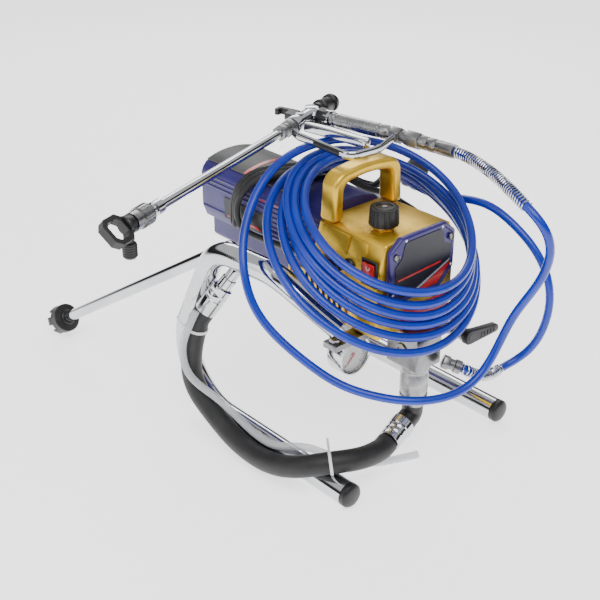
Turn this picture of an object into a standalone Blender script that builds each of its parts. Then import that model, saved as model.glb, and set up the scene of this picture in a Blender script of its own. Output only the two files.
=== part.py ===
"""Airless paint sprayer on a tube stand.

Metres, +Z up.  The front cover faces -Y, the motor points to +Y, and the stand
rests on Z = 0.  Helper functions take millimetres and scale them once.
"""
import bpy
import bmesh
import math
import numpy as np
from mathutils import Matrix, Vector

MM = 0.001
GAP = 0.35                      # clearance left between touching pieces, mm

# ---- driving dimensions, millimetres ------------------------------------
STAND_TUBE = 28.0               # stand tube outside diameter
STAND_HALF_TRACK = 124.3        # skid centre from the middle plane
LEG_ROUTE = [(STAND_HALF_TRACK, 0, 14), (STAND_HALF_TRACK, 334, 14), (STAND_HALF_TRACK, 218, 230),
             (110, 132, 224), (80, 63, 175)]
LEG_BENDS = [75, 42, 60]        # bend radii at the inner corners of the route

BOX_HALF = 58.0                 # gearbox housing half width
BOX_FRONT, BOX_REAR = 28.0, 128.0
BOX_FLOOR, BOX_SHOULDER, BOX_TOP = 165.0, 262.0, 275.0
BOX_WALL = 5.0

HANDLE_FRONT, HANDLE_DEPTH = 103.0, 24.0
HANDLE_HALF, HANDLE_TOP = 53.0, 333.0
HANDLE_STRAP = 12.5

MOTOR_HALF, MOTOR_REAR = 46.0, 348.0
MOTOR_SHELL = 3.0
SHAFT_Z = 228.0                 # motor shaft height
PINION_R, CRANK_R = 6.5, 19.5   # three to one
CRANK_Z = SHAFT_Z - PINION_R - CRANK_R - 0.4

PUMP_Y = 24.0                   # pump axis, in the middle plane
BLOCK_HALF, BLOCK_BOTTOM = 20.0, 120.0

HOSE_D = 9.5                    # high pressure hose
SUCTION_D = 25.0
RETURN_D = 9.0
POWER_D = 7.5

GUN_Z = 342.0                   # middle plane of the gun as it lies on the handle
POLE_D = 10.5

# coil turns, inside to outside: centre, half axis at 0 degrees, half axis at 90 degrees
COIL_TURNS = [
    ((16.0, 86.0, 266.9), (80.9, -52.7, -31.2), (69.8, 78.4, 34.2)),
    ((13.3, 92.0, 259.4), (83.0, -57.3, -36.2), (71.9, 80.7, 40.5)),
    ((14.3, 96.6, 253.4), (87.1, -61.9, -40.5), (75.1, 84.3, 46.2)),
    ((14.7, 89.1, 242.4), (95.3, -53.0, -37.3), (71.6, 80.4, 48.5)),
    ((13.0, 94.1, 235.4), (99.3, -57.8, -41.2), (74.6, 83.8, 54.1)),
    ((7.0, 98.4, 227.8), (105.9, -63.2, -45.2), (78.3, 87.9, 61.4)),
]


# ---- helpers -------------------------------------------------------------
def clear_scene():
    for obj in list(bpy.data.objects):
        bpy.data.objects.remove(obj, do_unlink=True)


def material(name, color, rough, metal=0.0):
    mat = bpy.data.materials.get(name)
    if mat is None:
        mat = bpy.data.materials.new(name)
        mat.use_nodes = True
        shader = mat.node_tree.nodes["Principled BSDF"]
        shader.inputs["Base Color"].default_value = (*color, 1.0)
        shader.inputs["Roughness"].default_value = rough
        shader.inputs["Metallic"].default_value = metal
        mat.diffuse_color = (*color, 1.0)
    return mat


CHROME = ("chrome", (0.86, 0.87, 0.88), 0.12, 1.0)
GOLD = ("gold_cast", (0.72, 0.46, 0.06), 0.35, 0.9)
INDIGO = ("indigo_plastic", (0.055, 0.04, 0.24), 0.45, 0.0)
BLACK = ("black_plastic", (0.012, 0.012, 0.013), 0.4, 0.0)
RUBBER = ("black_rubber", (0.015, 0.015, 0.016), 0.6, 0.0)
BLUE = ("blue_hose", (0.01, 0.09, 0.66), 0.25, 0.0)
RED = ("red_plastic", (0.55, 0.01, 0.01), 0.3, 0.0)
STEEL = ("machined_steel", (0.62, 0.62, 0.60), 0.3, 1.0)
CLEAR = ("clear_plastic", (0.85, 0.87, 0.88), 0.1, 0.0)
COPPER = ("copper_winding", (0.6, 0.25, 0.1), 0.35, 1.0)
GREEN = ("circuit_board", (0.02, 0.2, 0.08), 0.5, 0.0)


def finish(name, bm, finish_of, origin=(0, 0, 0), parent=None):
    """Close the mesh up, make the object and put its origin on its own axis."""
    bmesh.ops.remove_doubles(bm, verts=bm.verts, dist=0.00001)
    bmesh.ops.recalc_face_normals(bm, faces=bm.faces)
    place = Vector(origin) * MM
    bmesh.ops.translate(bm, verts=bm.verts, vec=-place)
    mesh = bpy.data.meshes.new(name)
    bm.to_mesh(mesh)
    bm.free()
    mesh.materials.append(material(*finish_of))
    mesh.shade_smooth()
    mesh.set_sharp_from_angle(angle=math.radians(40))
    obj = bpy.data.objects.new(name, mesh)
    bpy.context.collection.objects.link(obj)
    obj.location = place
    if parent is not None:
        obj.parent = parent
        obj.matrix_parent_inverse = Matrix.Translation(-parent.location)
    return obj


def axis_frame(start, end):
    """Matrix with its origin at start and +Z towards end, millimetres."""
    start, end = Vector(start), Vector(end)
    turn = Vector((0, 0, 1)).rotation_difference(end - start)
    return Matrix.Translation(start) @ turn.to_matrix().to_4x4()


def lathe(bm, profile, start, end, steps=24):
    """Turn a (radius, height) profile about the line start-end."""
    frame = axis_frame(start, end)
    verts = [bm.verts.new((r * MM, 0, h * MM)) for r, h in profile]
    edges = [bm.edges.new(pair) for pair in zip(verts, verts[1:])]
    if profile[0][0] > 0:
        edges.append(bm.edges.new((verts[-1], verts[0])))
    spun = bmesh.ops.spin(bm, geom=verts + edges, cent=(0, 0, 0), axis=(0, 0, 1),
                          angle=2 * math.pi, steps=steps, use_merge=True)
    new = {v for v in spun["geom_last"] if isinstance(v, bmesh.types.BMVert)} | set(verts)
    grown = True
    while grown:
        reach = {e.other_vert(v) for v in new if v.is_valid for e in v.link_edges} - new
        new |= reach
        grown = bool(reach)
    place = Matrix.Diagonal((MM, MM, MM, 1)) @ frame @ Matrix.Diagonal((1 / MM, 1 / MM, 1 / MM, 1))
    bmesh.ops.transform(bm, matrix=place, verts=[v for v in new if v.is_valid])
    bmesh.ops.remove_doubles(bm, verts=[v for v in new if v.is_valid], dist=0.000005)
    return spun


def turned(name, profile, start, end, finish_of, steps=24, origin=None, parent=None):
    bm = bmesh.new()
    lathe(bm, profile, start, end, steps)
    return finish(name, bm, finish_of, origin or start, parent)


def prism(bm, outline, near, far, axis="y"):
    """Extrude a flat outline between two levels along one world axis."""
    def at(p, level):
        spot = {"y": (p[0], level, p[1]), "x": (level, p[0], p[1]), "z": (p[0], p[1], level)}[axis]
        return Vector(spot) * MM
    base = bm.faces.new([bm.verts.new(at(p, near)) for p in outline])
    out = bmesh.ops.extrude_face_region(bm, geom=[base])
    moved = [g for g in out["geom"] if isinstance(g, bmesh.types.BMVert)]
    step = at((0, 0), far) - at((0, 0), near)
    bmesh.ops.translate(bm, verts=moved, vec=step)
    bmesh.ops.recalc_face_normals(bm, faces=bm.faces)
    return [g for g in out["geom"] if isinstance(g, bmesh.types.BMFace)][0], base


def slab(bm, low, high, bevel=0.0):
    """Box between two corners, with an optional edge bevel."""
    low, high = Vector(low) * MM, Vector(high) * MM
    size = high - low
    middle = Matrix.Translation((low + high) / 2)
    made = bmesh.ops.create_cube(bm, size=1.0, matrix=middle @ Matrix.Diagonal((*size, 1)))
    if bevel:
        edges = {e for v in made["verts"] for e in v.link_edges}
        bmesh.ops.bevel(bm, geom=list(edges), offset=bevel * MM, offset_type="OFFSET", segments=2,
                        profile=0.5, affect="EDGES", material=-1)


def rounded(points, radii, steps=5):
    """Polyline with its inner corners turned into arcs."""
    points = [Vector(p) for p in points]
    path = [points[0]]
    for corner, radius, before, after in zip(points[1:-1], radii, points, points[2:]):
        u, v = (before - corner).normalized(), (after - corner).normalized()
        half = u.angle(v) / 2
        reach = radius / math.tan(half)
        centre = corner + (u + v).normalized() * (radius / math.sin(half))
        first = (corner + u * reach - centre).normalized()
        last = (corner + v * reach - centre).normalized()
        for i in range(steps + 1):
            path.append(centre + first.slerp(last, i / steps) * radius)
    path.append(points[-1])
    return path


def smooth_route(points, step):
    """Even points along a Catmull-Rom curve through the route's own points."""
    pts = np.array(points, float)
    ends = np.vstack([2 * pts[0] - pts[1], pts, 2 * pts[-1] - pts[-2]])
    fine = []
    for p0, p1, p2, p3 in zip(ends, ends[1:], ends[2:], ends[3:]):
        for t in np.linspace(0, 1, 20, endpoint=False):
            fine.append(0.5 * (2 * p1 + (p2 - p0) * t + (2 * p0 - 5 * p1 + 4 * p2 - p3) * t ** 2
                               + (3 * p1 - p0 - 3 * p2 + p3) * t ** 3))
    fine.append(pts[-1])
    fine = np.array(fine)
    run = np.concatenate([[0], np.cumsum(np.linalg.norm(np.diff(fine, axis=0), axis=1))])
    marks = np.linspace(0, run[-1], max(2, round(run[-1] / step)) + 1)
    return [Vector([np.interp(m, run, fine[:, k]) for k in range(3)]) for m in marks]


def cord(name, route, diameter, step, finish_of, sides=2):
    """Plain tube along a route: a curve with a round bevel and filled caps."""
    data = bpy.data.curves.new(name, "CURVE")
    data.dimensions = "3D"
    data.bevel_depth = diameter / 2 * MM
    data.bevel_resolution = sides
    data.use_fill_caps = True
    line = data.splines.new("POLY")
    spots = smooth_route(route, step)
    line.points.add(len(spots) - 1)
    for point, spot in zip(line.points, spots):
        point.co = (*(spot * MM), 1.0)
    data.materials.append(material(*finish_of))
    obj = bpy.data.objects.new(name, data)
    bpy.context.collection.objects.link(obj)
    return obj


def pipe(bm, path, radius, sides=12):
    """Solid round bar swept along a path, with a mitred ring at every point."""
    path = [Vector(p) for p in path]
    heading = (path[1] - path[0]).normalized()
    side = heading.orthogonal().normalized()
    rings = []
    for i, spot in enumerate(path):
        before = (spot - path[i - 1]).normalized() if i else heading
        after = (path[i + 1] - spot).normalized() if i < len(path) - 1 else before
        along = (before + after).normalized()
        stretch = 1 / max(0.5, along.dot(after))
        side = (side - along * side.dot(along)).normalized()
        up = along.cross(side)
        bend = before.cross(after)
        ring = []
        for k in range(sides):
            a = 2 * math.pi * k / sides
            out = side * math.cos(a) + up * math.sin(a)
            if bend.length > 1e-6:
                across = along.cross(bend.normalized())
                out += across * out.dot(across) * (stretch - 1)
            ring.append(bm.verts.new((spot + out * radius) * MM))
        rings.append(ring)
    for a, b in zip(rings, rings[1:]):
        for k in range(sides):
            bm.faces.new((a[k], a[(k + 1) % sides], b[(k + 1) % sides], b[k]))
    bm.faces.new(list(reversed(rings[0])))
    bm.faces.new(rings[-1])


def cut(obj, cutter):
    """Boolean with a hidden wire cutter."""
    cutter.hide_render = True
    cutter.display_type = "WIRE"
    mod = obj.modifiers.new("cut_" + cutter.name, "BOOLEAN")
    mod.object = cutter
    mod.operation = "DIFFERENCE"
    mod.solver = "EXACT"


def pivot(name, spot):
    """Empty on a joint's axis that carries the pieces of one moving body."""
    empty = bpy.data.objects.new(name, None)
    bpy.context.collection.objects.link(empty)
    empty.location = Vector(spot) * MM
    return empty


# ---- stand ---------------------------------------------------------------
def stand():
    for side, word in ((-1, "left"), (1, "right")):
        corners = [(side * x, y, z) for x, y, z in LEG_ROUTE]
        bm = bmesh.new()
        pipe(bm, rounded(corners, LEG_BENDS, 6), STAND_TUBE / 2, 16)
        finish("stand_leg_" + word, bm, CHROME)
        x = side * STAND_HALF_TRACK
        cap = [(0, 0), (13.0, 0), (13.9, 1.5), (13.9, 4.5), (10.5, 7.5), (0, 9)]
        turned("end_cap_" + word, cap, (x, -GAP, 14), (x, -20, 14), BLACK, 16)
    outline = [(-96, 155), (96, 155), (96, 162.8), (50, 162.8), (50, BOX_FLOOR - GAP),
               (-50, BOX_FLOOR - GAP), (-50, 162.8), (-96, 162.8)]
    bm = bmesh.new()
    prism(bm, outline, 52, 72)
    finish("mounting_bracket", bm, STEEL)


# ---- housing -------------------------------------------------------------
def gearbox():
    outline = [(-BOX_HALF, BOX_FLOOR), (-BOX_HALF, BOX_SHOULDER), (-54, BOX_TOP), (54, BOX_TOP),
               (BOX_HALF, BOX_SHOULDER), (BOX_HALF, BOX_FLOOR)]
    bm = bmesh.new()
    rear = prism(bm, outline, BOX_FRONT, BOX_REAR)[0]
    bmesh.ops.inset_region(bm, faces=[rear], thickness=BOX_WALL * MM, use_even_offset=True)
    out = bmesh.ops.extrude_face_region(bm, geom=[rear])
    moved = [g for g in out["geom"] if isinstance(g, bmesh.types.BMVert)]
    bmesh.ops.translate(bm, verts=moved, vec=Vector((0, BOX_FRONT + BOX_WALL - BOX_REAR, 0)) * MM)
    if rear.is_valid:
        bmesh.ops.delete(bm, geom=[rear], context="FACES_ONLY")
    finish("gearbox_housing", bm, GOLD)

    inner = HANDLE_HALF - HANDLE_STRAP
    foot, top = BOX_TOP + GAP, HANDLE_TOP
    outer = rounded([(-HANDLE_HALF, 0, foot), (-HANDLE_HALF + 4, 0, top - 5), (0, 0, top + 1),
                     (HANDLE_HALF - 4, 0, top - 5), (HANDLE_HALF, 0, foot)], [18, 160, 18], 6)
    window = rounded([(inner, 0, foot), (inner - 3, 0, top - 16), (0, 0, top - 11),
                      (3 - inner, 0, top - 16), (-inner, 0, foot)], [10, 140, 10], 5)
    bm = bmesh.new()
    faces = prism(bm, [(p.x, p.z) for p in outer + window], HANDLE_FRONT, HANDLE_FRONT + HANDLE_DEPTH)
    rims = {e for f in faces for e in f.edges if max(v.co.z for v in e.verts) > (foot + 1) * MM}
    bmesh.ops.bevel(bm, geom=list(rims), offset=2.5 * MM, offset_type="OFFSET", segments=2,
                    profile=0.5, affect="EDGES", material=-1)
    finish("carry_handle", bm, GOLD)


def covers():
    face, back = 20.0, BOX_FRONT - GAP
    outline = [(-50, 215), (-50, 268), (-34, 281), (34, 281), (50, 268), (50, 225), (30, 205), (-34, 205)]
    bm = bmesh.new()
    shown = prism(bm, outline, back, face)[0]
    bmesh.ops.bevel(bm, geom=list(shown.edges), offset=2.2 * MM, offset_type="OFFSET", segments=2,
                    profile=0.5, affect="EDGES", material=-1)
    finish("front_cover", bm, INDIGO)
    screw = [(0, 0), (4.0, 0), (4.0, 1.6), (2.6, 2.6), (0, 2.6)]
    for i, x in enumerate((-42, 42), 1):
        turned(f"cover_screw_{i}", screw, (x, face - GAP, 262), (x, face - 9, 262), STEEL, 12)
    bm = bmesh.new()
    slab(bm, (-61.5, 76, 167), (-BOX_HALF - GAP, 168, 213), 0.8)
    finish("vent_panel", bm, GOLD)

    half = MOTOR_HALF
    outline = [(-half, 223), (-half, 266), (-38, 278), (-20, 283.4), (0, 285.2), (20, 283.4), (38, 278),
               (half, 266), (half, 223), (half - 6, 207), (30, 206), (30, 180), (25, 175),
               (-25, 175), (-30, 180), (-30, 206), (6 - half, 207)]
    bm = bmesh.new()
    prism(bm, outline, BOX_REAR + GAP, MOTOR_REAR)
    body = finish("motor_cover", bm, INDIGO)
    keep = 1 - MOTOR_SHELL / half
    hollow = [(x * keep, SHAFT_Z + (z - SHAFT_Z) * keep) for x, z in outline]
    bm = bmesh.new()
    prism(bm, hollow, BOX_REAR - 5, MOTOR_REAR - MOTOR_SHELL)
    cut(body, finish("motor_hollow_cutter", bm, INDIGO))
    under = [(-37.6, 278.6), (-20, 283.8), (0, 285.6), (20, 283.8), (37.6, 278.6)]
    over = [(36.6, 280.9), (20, 285.8), (0, 287.6), (-20, 285.8), (-36.6, 280.9)]
    bm = bmesh.new()
    prism(bm, under + over, 200, MOTOR_REAR - 3)
    finish("motor_top_panel", bm, BLACK)


def drive():
    """Motor, pinion and crank gear behind the housing, and the board in front."""
    ring = [(27, 0), (33.5, 0), (33.5, 106), (27, 106)]
    turned("motor_stator", ring, (0, 165, SHAFT_Z), (0, 271, SHAFT_Z), COPPER)
    hub = pivot("motor_shaft_axis", (0, 112, SHAFT_Z))
    pinion = PINION_R
    shaft = [(0, 0), (pinion, 0), (pinion, 16), (4.5, 16), (4.5, 64), (26.5, 64), (26.5, 164),
             (4.5, 164), (4.5, 196), (0, 196)]
    turned("motor_rotor", shaft, (0, 104, SHAFT_Z), (0, 300, SHAFT_Z), STEEL, parent=hub)
    fan = [(0, 0), (31, 0), (31, 2), (12, 6), (12, 14), (0, 14)]
    turned("cooling_fan", fan, (0, 300 + GAP, SHAFT_Z), (0, 320, SHAFT_Z), BLACK, 16, parent=hub)
    crank = pivot("crank_axis", (0, 112, CRANK_Z))
    gear = [(0, 0), (6, 0), (6, 20), (CRANK_R, 20), (CRANK_R, 34), (0, 34)]
    turned("crank_gear", gear, (0, 85, CRANK_Z), (0, 119, CRANK_Z), STEEL, parent=crank)
    bm = bmesh.new()
    slab(bm, (-48, 38, 240), (48, 84, 242))
    finish("control_board", bm, GREEN)


def controls():
    x, y = -20.0, 61.0
    knob = [(0, 0), (13, 0), (13, 6), (17, 6.6), (17, 23), (14, 26.5), (0, 26.5)]
    turned("pressure_knob", knob, (x, y, BOX_TOP + GAP), (x, y, 320), BLACK, 16)
    wall = -BOX_HALF - GAP
    y, z = 41.0, 243.0
    bm = bmesh.new()
    slab(bm, (wall - 3, y - 11, z - 15), (wall, y + 11, z + 15))
    hollow = bmesh.new()
    slab(hollow, (wall - 9, y - 8.6, z - 12), (wall - 1, y + 8.6, z + 12))
    cut(finish("switch_bezel", bm, BLACK), finish("switch_recess_cutter", hollow, BLACK))
    axis = (wall - 2.5, y, z)
    bm = bmesh.new()
    outline = [(wall - 1.4, z - 3), (wall - 1.4, z + 3), (wall - 2.6, z + 11.4), (wall - 4.6, z + 11.4),
               (wall - 3.8, z), (wall - 4.6, z - 11.4), (wall - 2.6, z - 11.4)]
    prism(bm, outline, y - 8.2, y + 8.2)
    finish("power_switch", bm, RED, axis)


# ---- pump ----------------------------------------------------------------
OUTLET = Vector((15, -2.6, 127)), Vector((0.62, -0.70, -0.36))    # hose outlet and its heading


def pump():
    top = BOX_FLOOR - GAP
    bm = bmesh.new()
    slab(bm, (-BLOCK_HALF, 4, BLOCK_BOTTOM), (BLOCK_HALF, 50, top), 2)
    block = finish("pump_block", bm, STEEL)
    bore = [(0, 0), (7, 0), (7, 45), (0, 45)]
    cut(block, turned("pump_bore_cutter", bore, (0, PUMP_Y, 115), (0, PUMP_Y, 160), STEEL))
    tube = [(0, 0), (15, 0), (16, 2), (16, 51.6), (10, 51.6), (10, 8), (0, 8)]
    turned("pump_cylinder", tube, (0, PUMP_Y, 68), (0, PUMP_Y, 120), STEEL, 12)
    piston = [(0, 0), (9.3, 0), (9.3, 14), (5.5, 14), (5.5, 58), (0, 58)]
    turned("pump_piston", piston, (0, PUMP_Y, 77), (0, PUMP_Y, 135), STEEL)

    along = Vector((-46, -7, -15)).normalized()
    bend = Vector((0, PUMP_Y, 52))
    bm = bmesh.new()
    pipe(bm, [(0, PUMP_Y, 68 - GAP), bend, bend + along * 16], 12.6, 16)
    finish("inlet_elbow", bm, BLACK)
    ferrule = [(0, 0), (13, 0), (14.2, 2), (14.2, 12), (13.4, 13), (13.4, 31), (0, 31)]
    turned("inlet_ferrule", ferrule, bend + along * (16 + GAP), bend + along * 60, STEEL)

    spot, way = OUTLET
    out = [(0, 0), (8, 0), (8, 8), (6.5, 9), (6.5, 14), (8, 15), (8, 22), (0, 22)]
    turned("outlet_fitting", out, spot, spot + way, STEEL, 12)


def prime_valve():
    y, z = 17.0, 140.0
    bm = bmesh.new()
    pipe(bm, [(BLOCK_HALF + GAP, y + 14, z), (60, y + 14, z), (60, 3, z)], 7.5, 12)
    finish("prime_valve_body", bm, STEEL)
    outline = [(51, z), (53, z - 7), (60, z - 8.5), (104, z - 8), (108, z - 4), (104, z + 2),
               (66, z + 8), (60, z + 9.5), (53, z + 7)]
    bm = bmesh.new()
    prism(bm, outline, 3 - GAP, -6)
    finish("prime_handle", bm, BLACK, (60, 0, z))


def gauge():
    x, y, z, radius = -40.0, 102.0, 119.0, 24.0
    front, back = (x, y - 25, z), (x, y, z)
    case = [(0, 0), (radius - 2, 0), (radius, 2), (radius, 22), (radius - 1, 25), (20.6, 25), (20.6, 19), (0, 19)]
    turned("gauge_case", case, back, front, STEEL, 32)
    glass = [(0, 0), (20.2, 0), (20.2, 1.2), (0, 1.2)]
    turned("gauge_glass", glass, (x, y - 23, z), (x, y - 30, z), CLEAR, 32)
    bm = bmesh.new()
    outline = [(x - 2, z - 1), (x - 12.5, z - 11.8), (x - 11.8, z - 12.5), (x + 1, z - 2),
               (x + 3, z + 1), (x + 1, z + 3)]
    prism(bm, outline, y - 19 - GAP, y - 20.4)
    finish("gauge_needle", bm, RED, (x, y - 20, z))
    stem = [(0, 0), (6, 0), (6, 7), (8.5, 7.5), (8.5, 17), (6, 17.5), (6, 21.2), (0, 21.2)]
    turned("gauge_stem", stem, (x, y - 12, z + radius + 0.4), (x, y - 12, z + 60), STEEL, 12)


# ---- suction set ---------------------------------------------------------
SUCTION_ROUTE = [(-47, 16.8, 36.7), (-60, 14.6, 33.8), (-80, 12, 35.5), (-108, 14, 42), (-129, 28, 42), (-145, 48, 33),
                 (-152.6, 84, 19), (-152.8, 122, 13.2), (-152.8, 160, 17), (-152.6, 191, 30),
                 (-151, 237, 51), (-152, 240, 83), (-150, 236, 113), (-145.5, 231.5, 138),
                 (-138.4, 226.3, 152.3)]
RETURN_ROUTE = [(-5, 8, 5), (-43, 23, 5), (-75, 40, 8), (-98, 55, 22), (-118, 72, 35),
                (-134, 92, 32), (-140, 106, 28.5), (-140, 140, 29), (-141, 172, 38),
                (-149, 196, 54), (-162, 224, 70), (-169, 231, 95), (-169, 231, 118),
                (-165, 220.5, 146), (-157, 218, 162)]


def suction_set():
    low, high = Vector((-138, 226, 153)), Vector((-118, 211, 187))
    way = (high - low).normalized()
    sleeve = [(0, 0), (12.8, 0), (12.8, 20), (12.2, 21), (12.2, 37), (9, 38), (9, 50), (0, 50)]
    turned("pipe_ferrule", sleeve, low, high, STEEL)
    start = low + way * (50 + GAP)
    bm = bmesh.new()
    route = [start, start + way * 14, (-98, 214, 218), (-97, 228, 221), (-100, 240, 213.5), (-152, 522, 31)]
    pipe(bm, rounded(route, [9, 9, 9, 14], 3), 7.5, 12)
    finish("suction_pipe", bm, CHROME)
    near = Vector((-152.2, 522.6, 30.6))
    far = near + Vector((-0.153, 0.829, -0.50)) * 24
    cup = [(0, 0), (12, 0), (19.5, 4), (19.5, 24), (16.5, 24), (16.5, 7), (0, 7)]
    turned("strainer", cup, near, far, BLACK, 24)
    cord("suction_hose", SUCTION_ROUTE, SUCTION_D, 14, RUBBER, 3)
    cord("return_tube", RETURN_ROUTE, RETURN_D, 9, CLEAR)


# ---- gun -----------------------------------------------------------------
def gun():
    z = GUN_Z
    knee = Vector((46.1, 248.3, z))
    barrel = Vector((-0.936, -0.352, 0))
    grip = Vector((0.184, -0.983, 0)).normalized()

    def on(distance):
        return knee + barrel * distance

    bm = bmesh.new()
    pipe(bm, [on(50), knee, knee + grip * 30], 10.5, 16)
    finish("gun_body", bm, CHROME)
    handle = [(0, 0), (8.3, 0), (8.3, 78), (7, 80), (7, 83), (0, 83)]
    turned("gun_grip", handle, knee + grip * (30 + GAP), knee + grip * 120, CHROME, 16)
    packing = [(0, 0), (9, 0), (9, 8), (11.5, 9), (9.5, 32), (11.5, 33), (11.5, 44), (0, 44)]
    turned("packing_nut", packing, on(-14), on(-60), BLACK, 16)
    hook = [(19, 250.8), (38, 258), (36, 270), (31, 288), (20, 285), (22, 280), (27, 281), (29, 270), (17, 264)]
    bm = bmesh.new()
    prism(bm, hook, z - 4, z + 4, "z")
    finish("gun_hook", bm, BLACK)

    lever = [(7, 219.5), (22, 225), (27, 134), (25, 128), (20, 127), (17, 132)]
    bm = bmesh.new()
    prism(bm, lever, z - 5, z + 5, "z")
    finish("gun_trigger", bm, CHROME, (14, 222, z))
    bm = bmesh.new()
    strap = [(-14, 211, z), (-18, 200, z), (-22, 112, z), (18, 109, z), (55, 124, z)]
    pipe(bm, rounded(strap, [12, 12, 30], 4), 2.6, 8)
    finish("trigger_guard", bm, CHROME)

    nut = [(0, 0), (10, 0), (10, 12), (8, 13), (8, 18), (9, 19), (9, 30), (0, 30)]
    turned("pole_nut", nut, on(50 + GAP), on(90), STEEL, 12)
    pole = [(0, 0), (POLE_D / 2, 0), (POLE_D / 2, 255), (0, 255)]
    turned("extension_pole", pole, on(80 + 2 * GAP), on(335), CHROME, 16)
    collar = [(0, 0), (9.5, 0), (11, 2), (11, 16), (9.5, 18), (9.5, 28), (0, 28)]
    turned("tip_collar", collar, on(336.3), on(365), STEEL, 16)
    guard = [(4, 0), (9, 0), (9, 8), (21, 22), (22, 36), (18, 36), (17, 24), (4, 12)]
    turned("tip_guard", guard, on(364.8), on(400), BLACK, 8)
    key = [(0, 0), (5.5, 0), (5.5, 6), (7, 8), (7, 22), (5, 24), (0, 24)]
    at = on(369)
    turned("spray_tip", key, (at.x, at.y, z - 9.8), (at.x, at.y, z - 40), BLACK, 12)

    start = knee + grip * (113.4 + 2 * GAP)
    end = Vector((74, 47, z))
    swivel = [(0, 0), (9, 0), (9, 14), (7, 15), (7, 22), (9.5, 23), (9.5, 42), (7.8, 43), (7.8, 88), (0, 88)]
    turned("hose_swivel", swivel, start, end, STEEL, 12)
    tail = start + (end - start).normalized() * 89
    bm = bmesh.new()
    pipe(bm, smooth_route([tail, (73, 30, 341.5), (67, 2, 340), (52, -38, 335.5), (36, -75, 330)], 9), 6.3, 10)
    finish("spring_guard_gun", bm, STEEL)


# ---- hose ----------------------------------------------------------------
def turn_point(turn, angle):
    """Point on one coil turn; 0 degrees is the front right, 90 the back."""
    centre, first, second = (Vector(v) for v in turn)
    return centre + first * math.cos(math.radians(angle)) + second * math.sin(math.radians(angle))


def hose_coil():
    """Outer shape of the six turns as one closed ring."""
    margin = HOSE_D / 2 + 0.5
    bm = bmesh.new()
    rings = []
    for k in range(48):
        angle = 360 * k / 48
        spots = [turn_point(t, angle) for t in COIL_TURNS]
        centre = sum(spots, Vector()) / len(spots)
        along = (turn_point(COIL_TURNS[2], angle + 3) - turn_point(COIL_TURNS[2], angle - 3)).normalized()
        u = spots[-1] - spots[0]
        u = (u - along * u.dot(along)).normalized()
        n = along.cross(u)
        ways = [u * math.cos(math.pi * q / 4) + n * math.sin(math.pi * q / 4) for q in range(8)]
        reach = [max((p - centre).dot(w) for p in spots) + margin for w in ways]
        ring = []
        for q in range(8):
            slide = reach[(q + 1) % 8] * math.sqrt(2) - reach[q]
            spot = centre + ways[q] * reach[q] + ways[(q + 2) % 8] * slide
            ring.append(bm.verts.new(spot * MM))
        rings.append(ring)
    for i, ring in enumerate(rings):
        after = rings[(i + 1) % len(rings)]
        for k in range(8):
            bm.faces.new((ring[k], ring[(k + 1) % 8], after[(k + 1) % 8], after[k]))
    finish("hose_coil", bm, BLUE)


PUMP_RUN = [(96.2, -15.2, 87.1), (116, -17, 88.5), (131, -31, 102), (141, -42, 130), (148, -44, 180),
            (145, -22, 225), (140, 20, 254), (136, 52, 266)]
GUN_RUN = [(40, 190, 329), (10, 194, 330), (-36, 190, 329), (-78, 184, 316), (-115, 172, 284),
           (-146, 145, 246), (-148, 114, 190), (-112, 44, 133), (-82, 4, 118), (-50, -26, 112),
           (-3, -44, 111), (36, -48, 130), (60, -57, 188), (62, -76, 225), (60, -85, 255),
           (49, -91, 289), (37, -93, 309), (32, -88, 322), (32.6, -83, 328.6), (35.4, -76.4, 329.8)]


def hoses():
    hose_coil()
    bm = bmesh.new()
    spot, way = OUTLET
    start = spot + way * 23
    route = [start, start + way * 6, (56, -27, 100), (78, -21, 90), (93.2, -16, 87.5)]
    pipe(bm, smooth_route(route, 8), 6.3, 10)
    finish("spring_guard_pump", bm, STEEL)
    cord("hose_pump_run", PUMP_RUN, HOSE_D, 13, BLUE)
    cord("hose_gun_run", GUN_RUN, HOSE_D, 12.5, BLUE)


# ---- power cord ----------------------------------------------------------
POWER_ROUTE = [(-65.9, 73, 240.6), (-66.8, 80, 240), (-67, 88, 239), (-65, 110, 235), (-60, 150, 229),
               (-57, 200, 223), (-56, 238, 220), (-58, 258, 225), (-61, 262.5, 233)]
HANK_ROUTE = [(-62, 262, 236), (-62, 261, 256), (-59, 254, 273), (-46, 245, 288), (-22, 231, 293),
              (8, 217, 292.4), (34, 211, 289.4), (54, 202, 279), (72, 191, 265), (92, 182, 256),
              (112, 182, 254), (127, 190, 263)]


def power():
    gland = [(0, 0), (7, 0), (7, 1.5), (5.5, 3.2), (0, 3.2)]
    turned("cord_gland", gland, (-BOX_HALF - GAP, 72, 241), (-70, 72, 241), BLACK, 16)
    cord("power_cord", POWER_ROUTE, POWER_D, 12, RUBBER)
    bm = bmesh.new()
    across = Vector((0.47, 0.88, 0)).normalized()
    path = smooth_route(HANK_ROUTE, 14)
    rings = []
    for i, spot in enumerate(path):
        along = (path[min(i + 1, len(path) - 1)] - path[max(i - 1, 0)]).normalized()
        lift = along.cross(across).normalized()
        shape = [(-15, -1.8), (-13, -3.7), (13, -3.7), (15, -1.8), (15, 1.8), (13, 3.7), (-13, 3.7), (-15, 1.8)]
        rings.append([bm.verts.new((spot + across * a + lift * b) * MM) for a, b in shape])
    for a, b in zip(rings, rings[1:]):
        for k in range(8):
            bm.faces.new((a[k], a[(k + 1) % 8], b[(k + 1) % 8], b[k]))
    bm.faces.new(list(reversed(rings[0])))
    bm.faces.new(rings[-1])
    finish("power_hank", bm, RUBBER)
    plug = [(0, 0), (5, 0), (8, 8), (16, 12), (18, 22), (18, 34), (16, 36), (0, 36)]
    turned("power_plug", plug, (135, 190, 271), (162, 167, 254), BLACK, 16)


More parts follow.
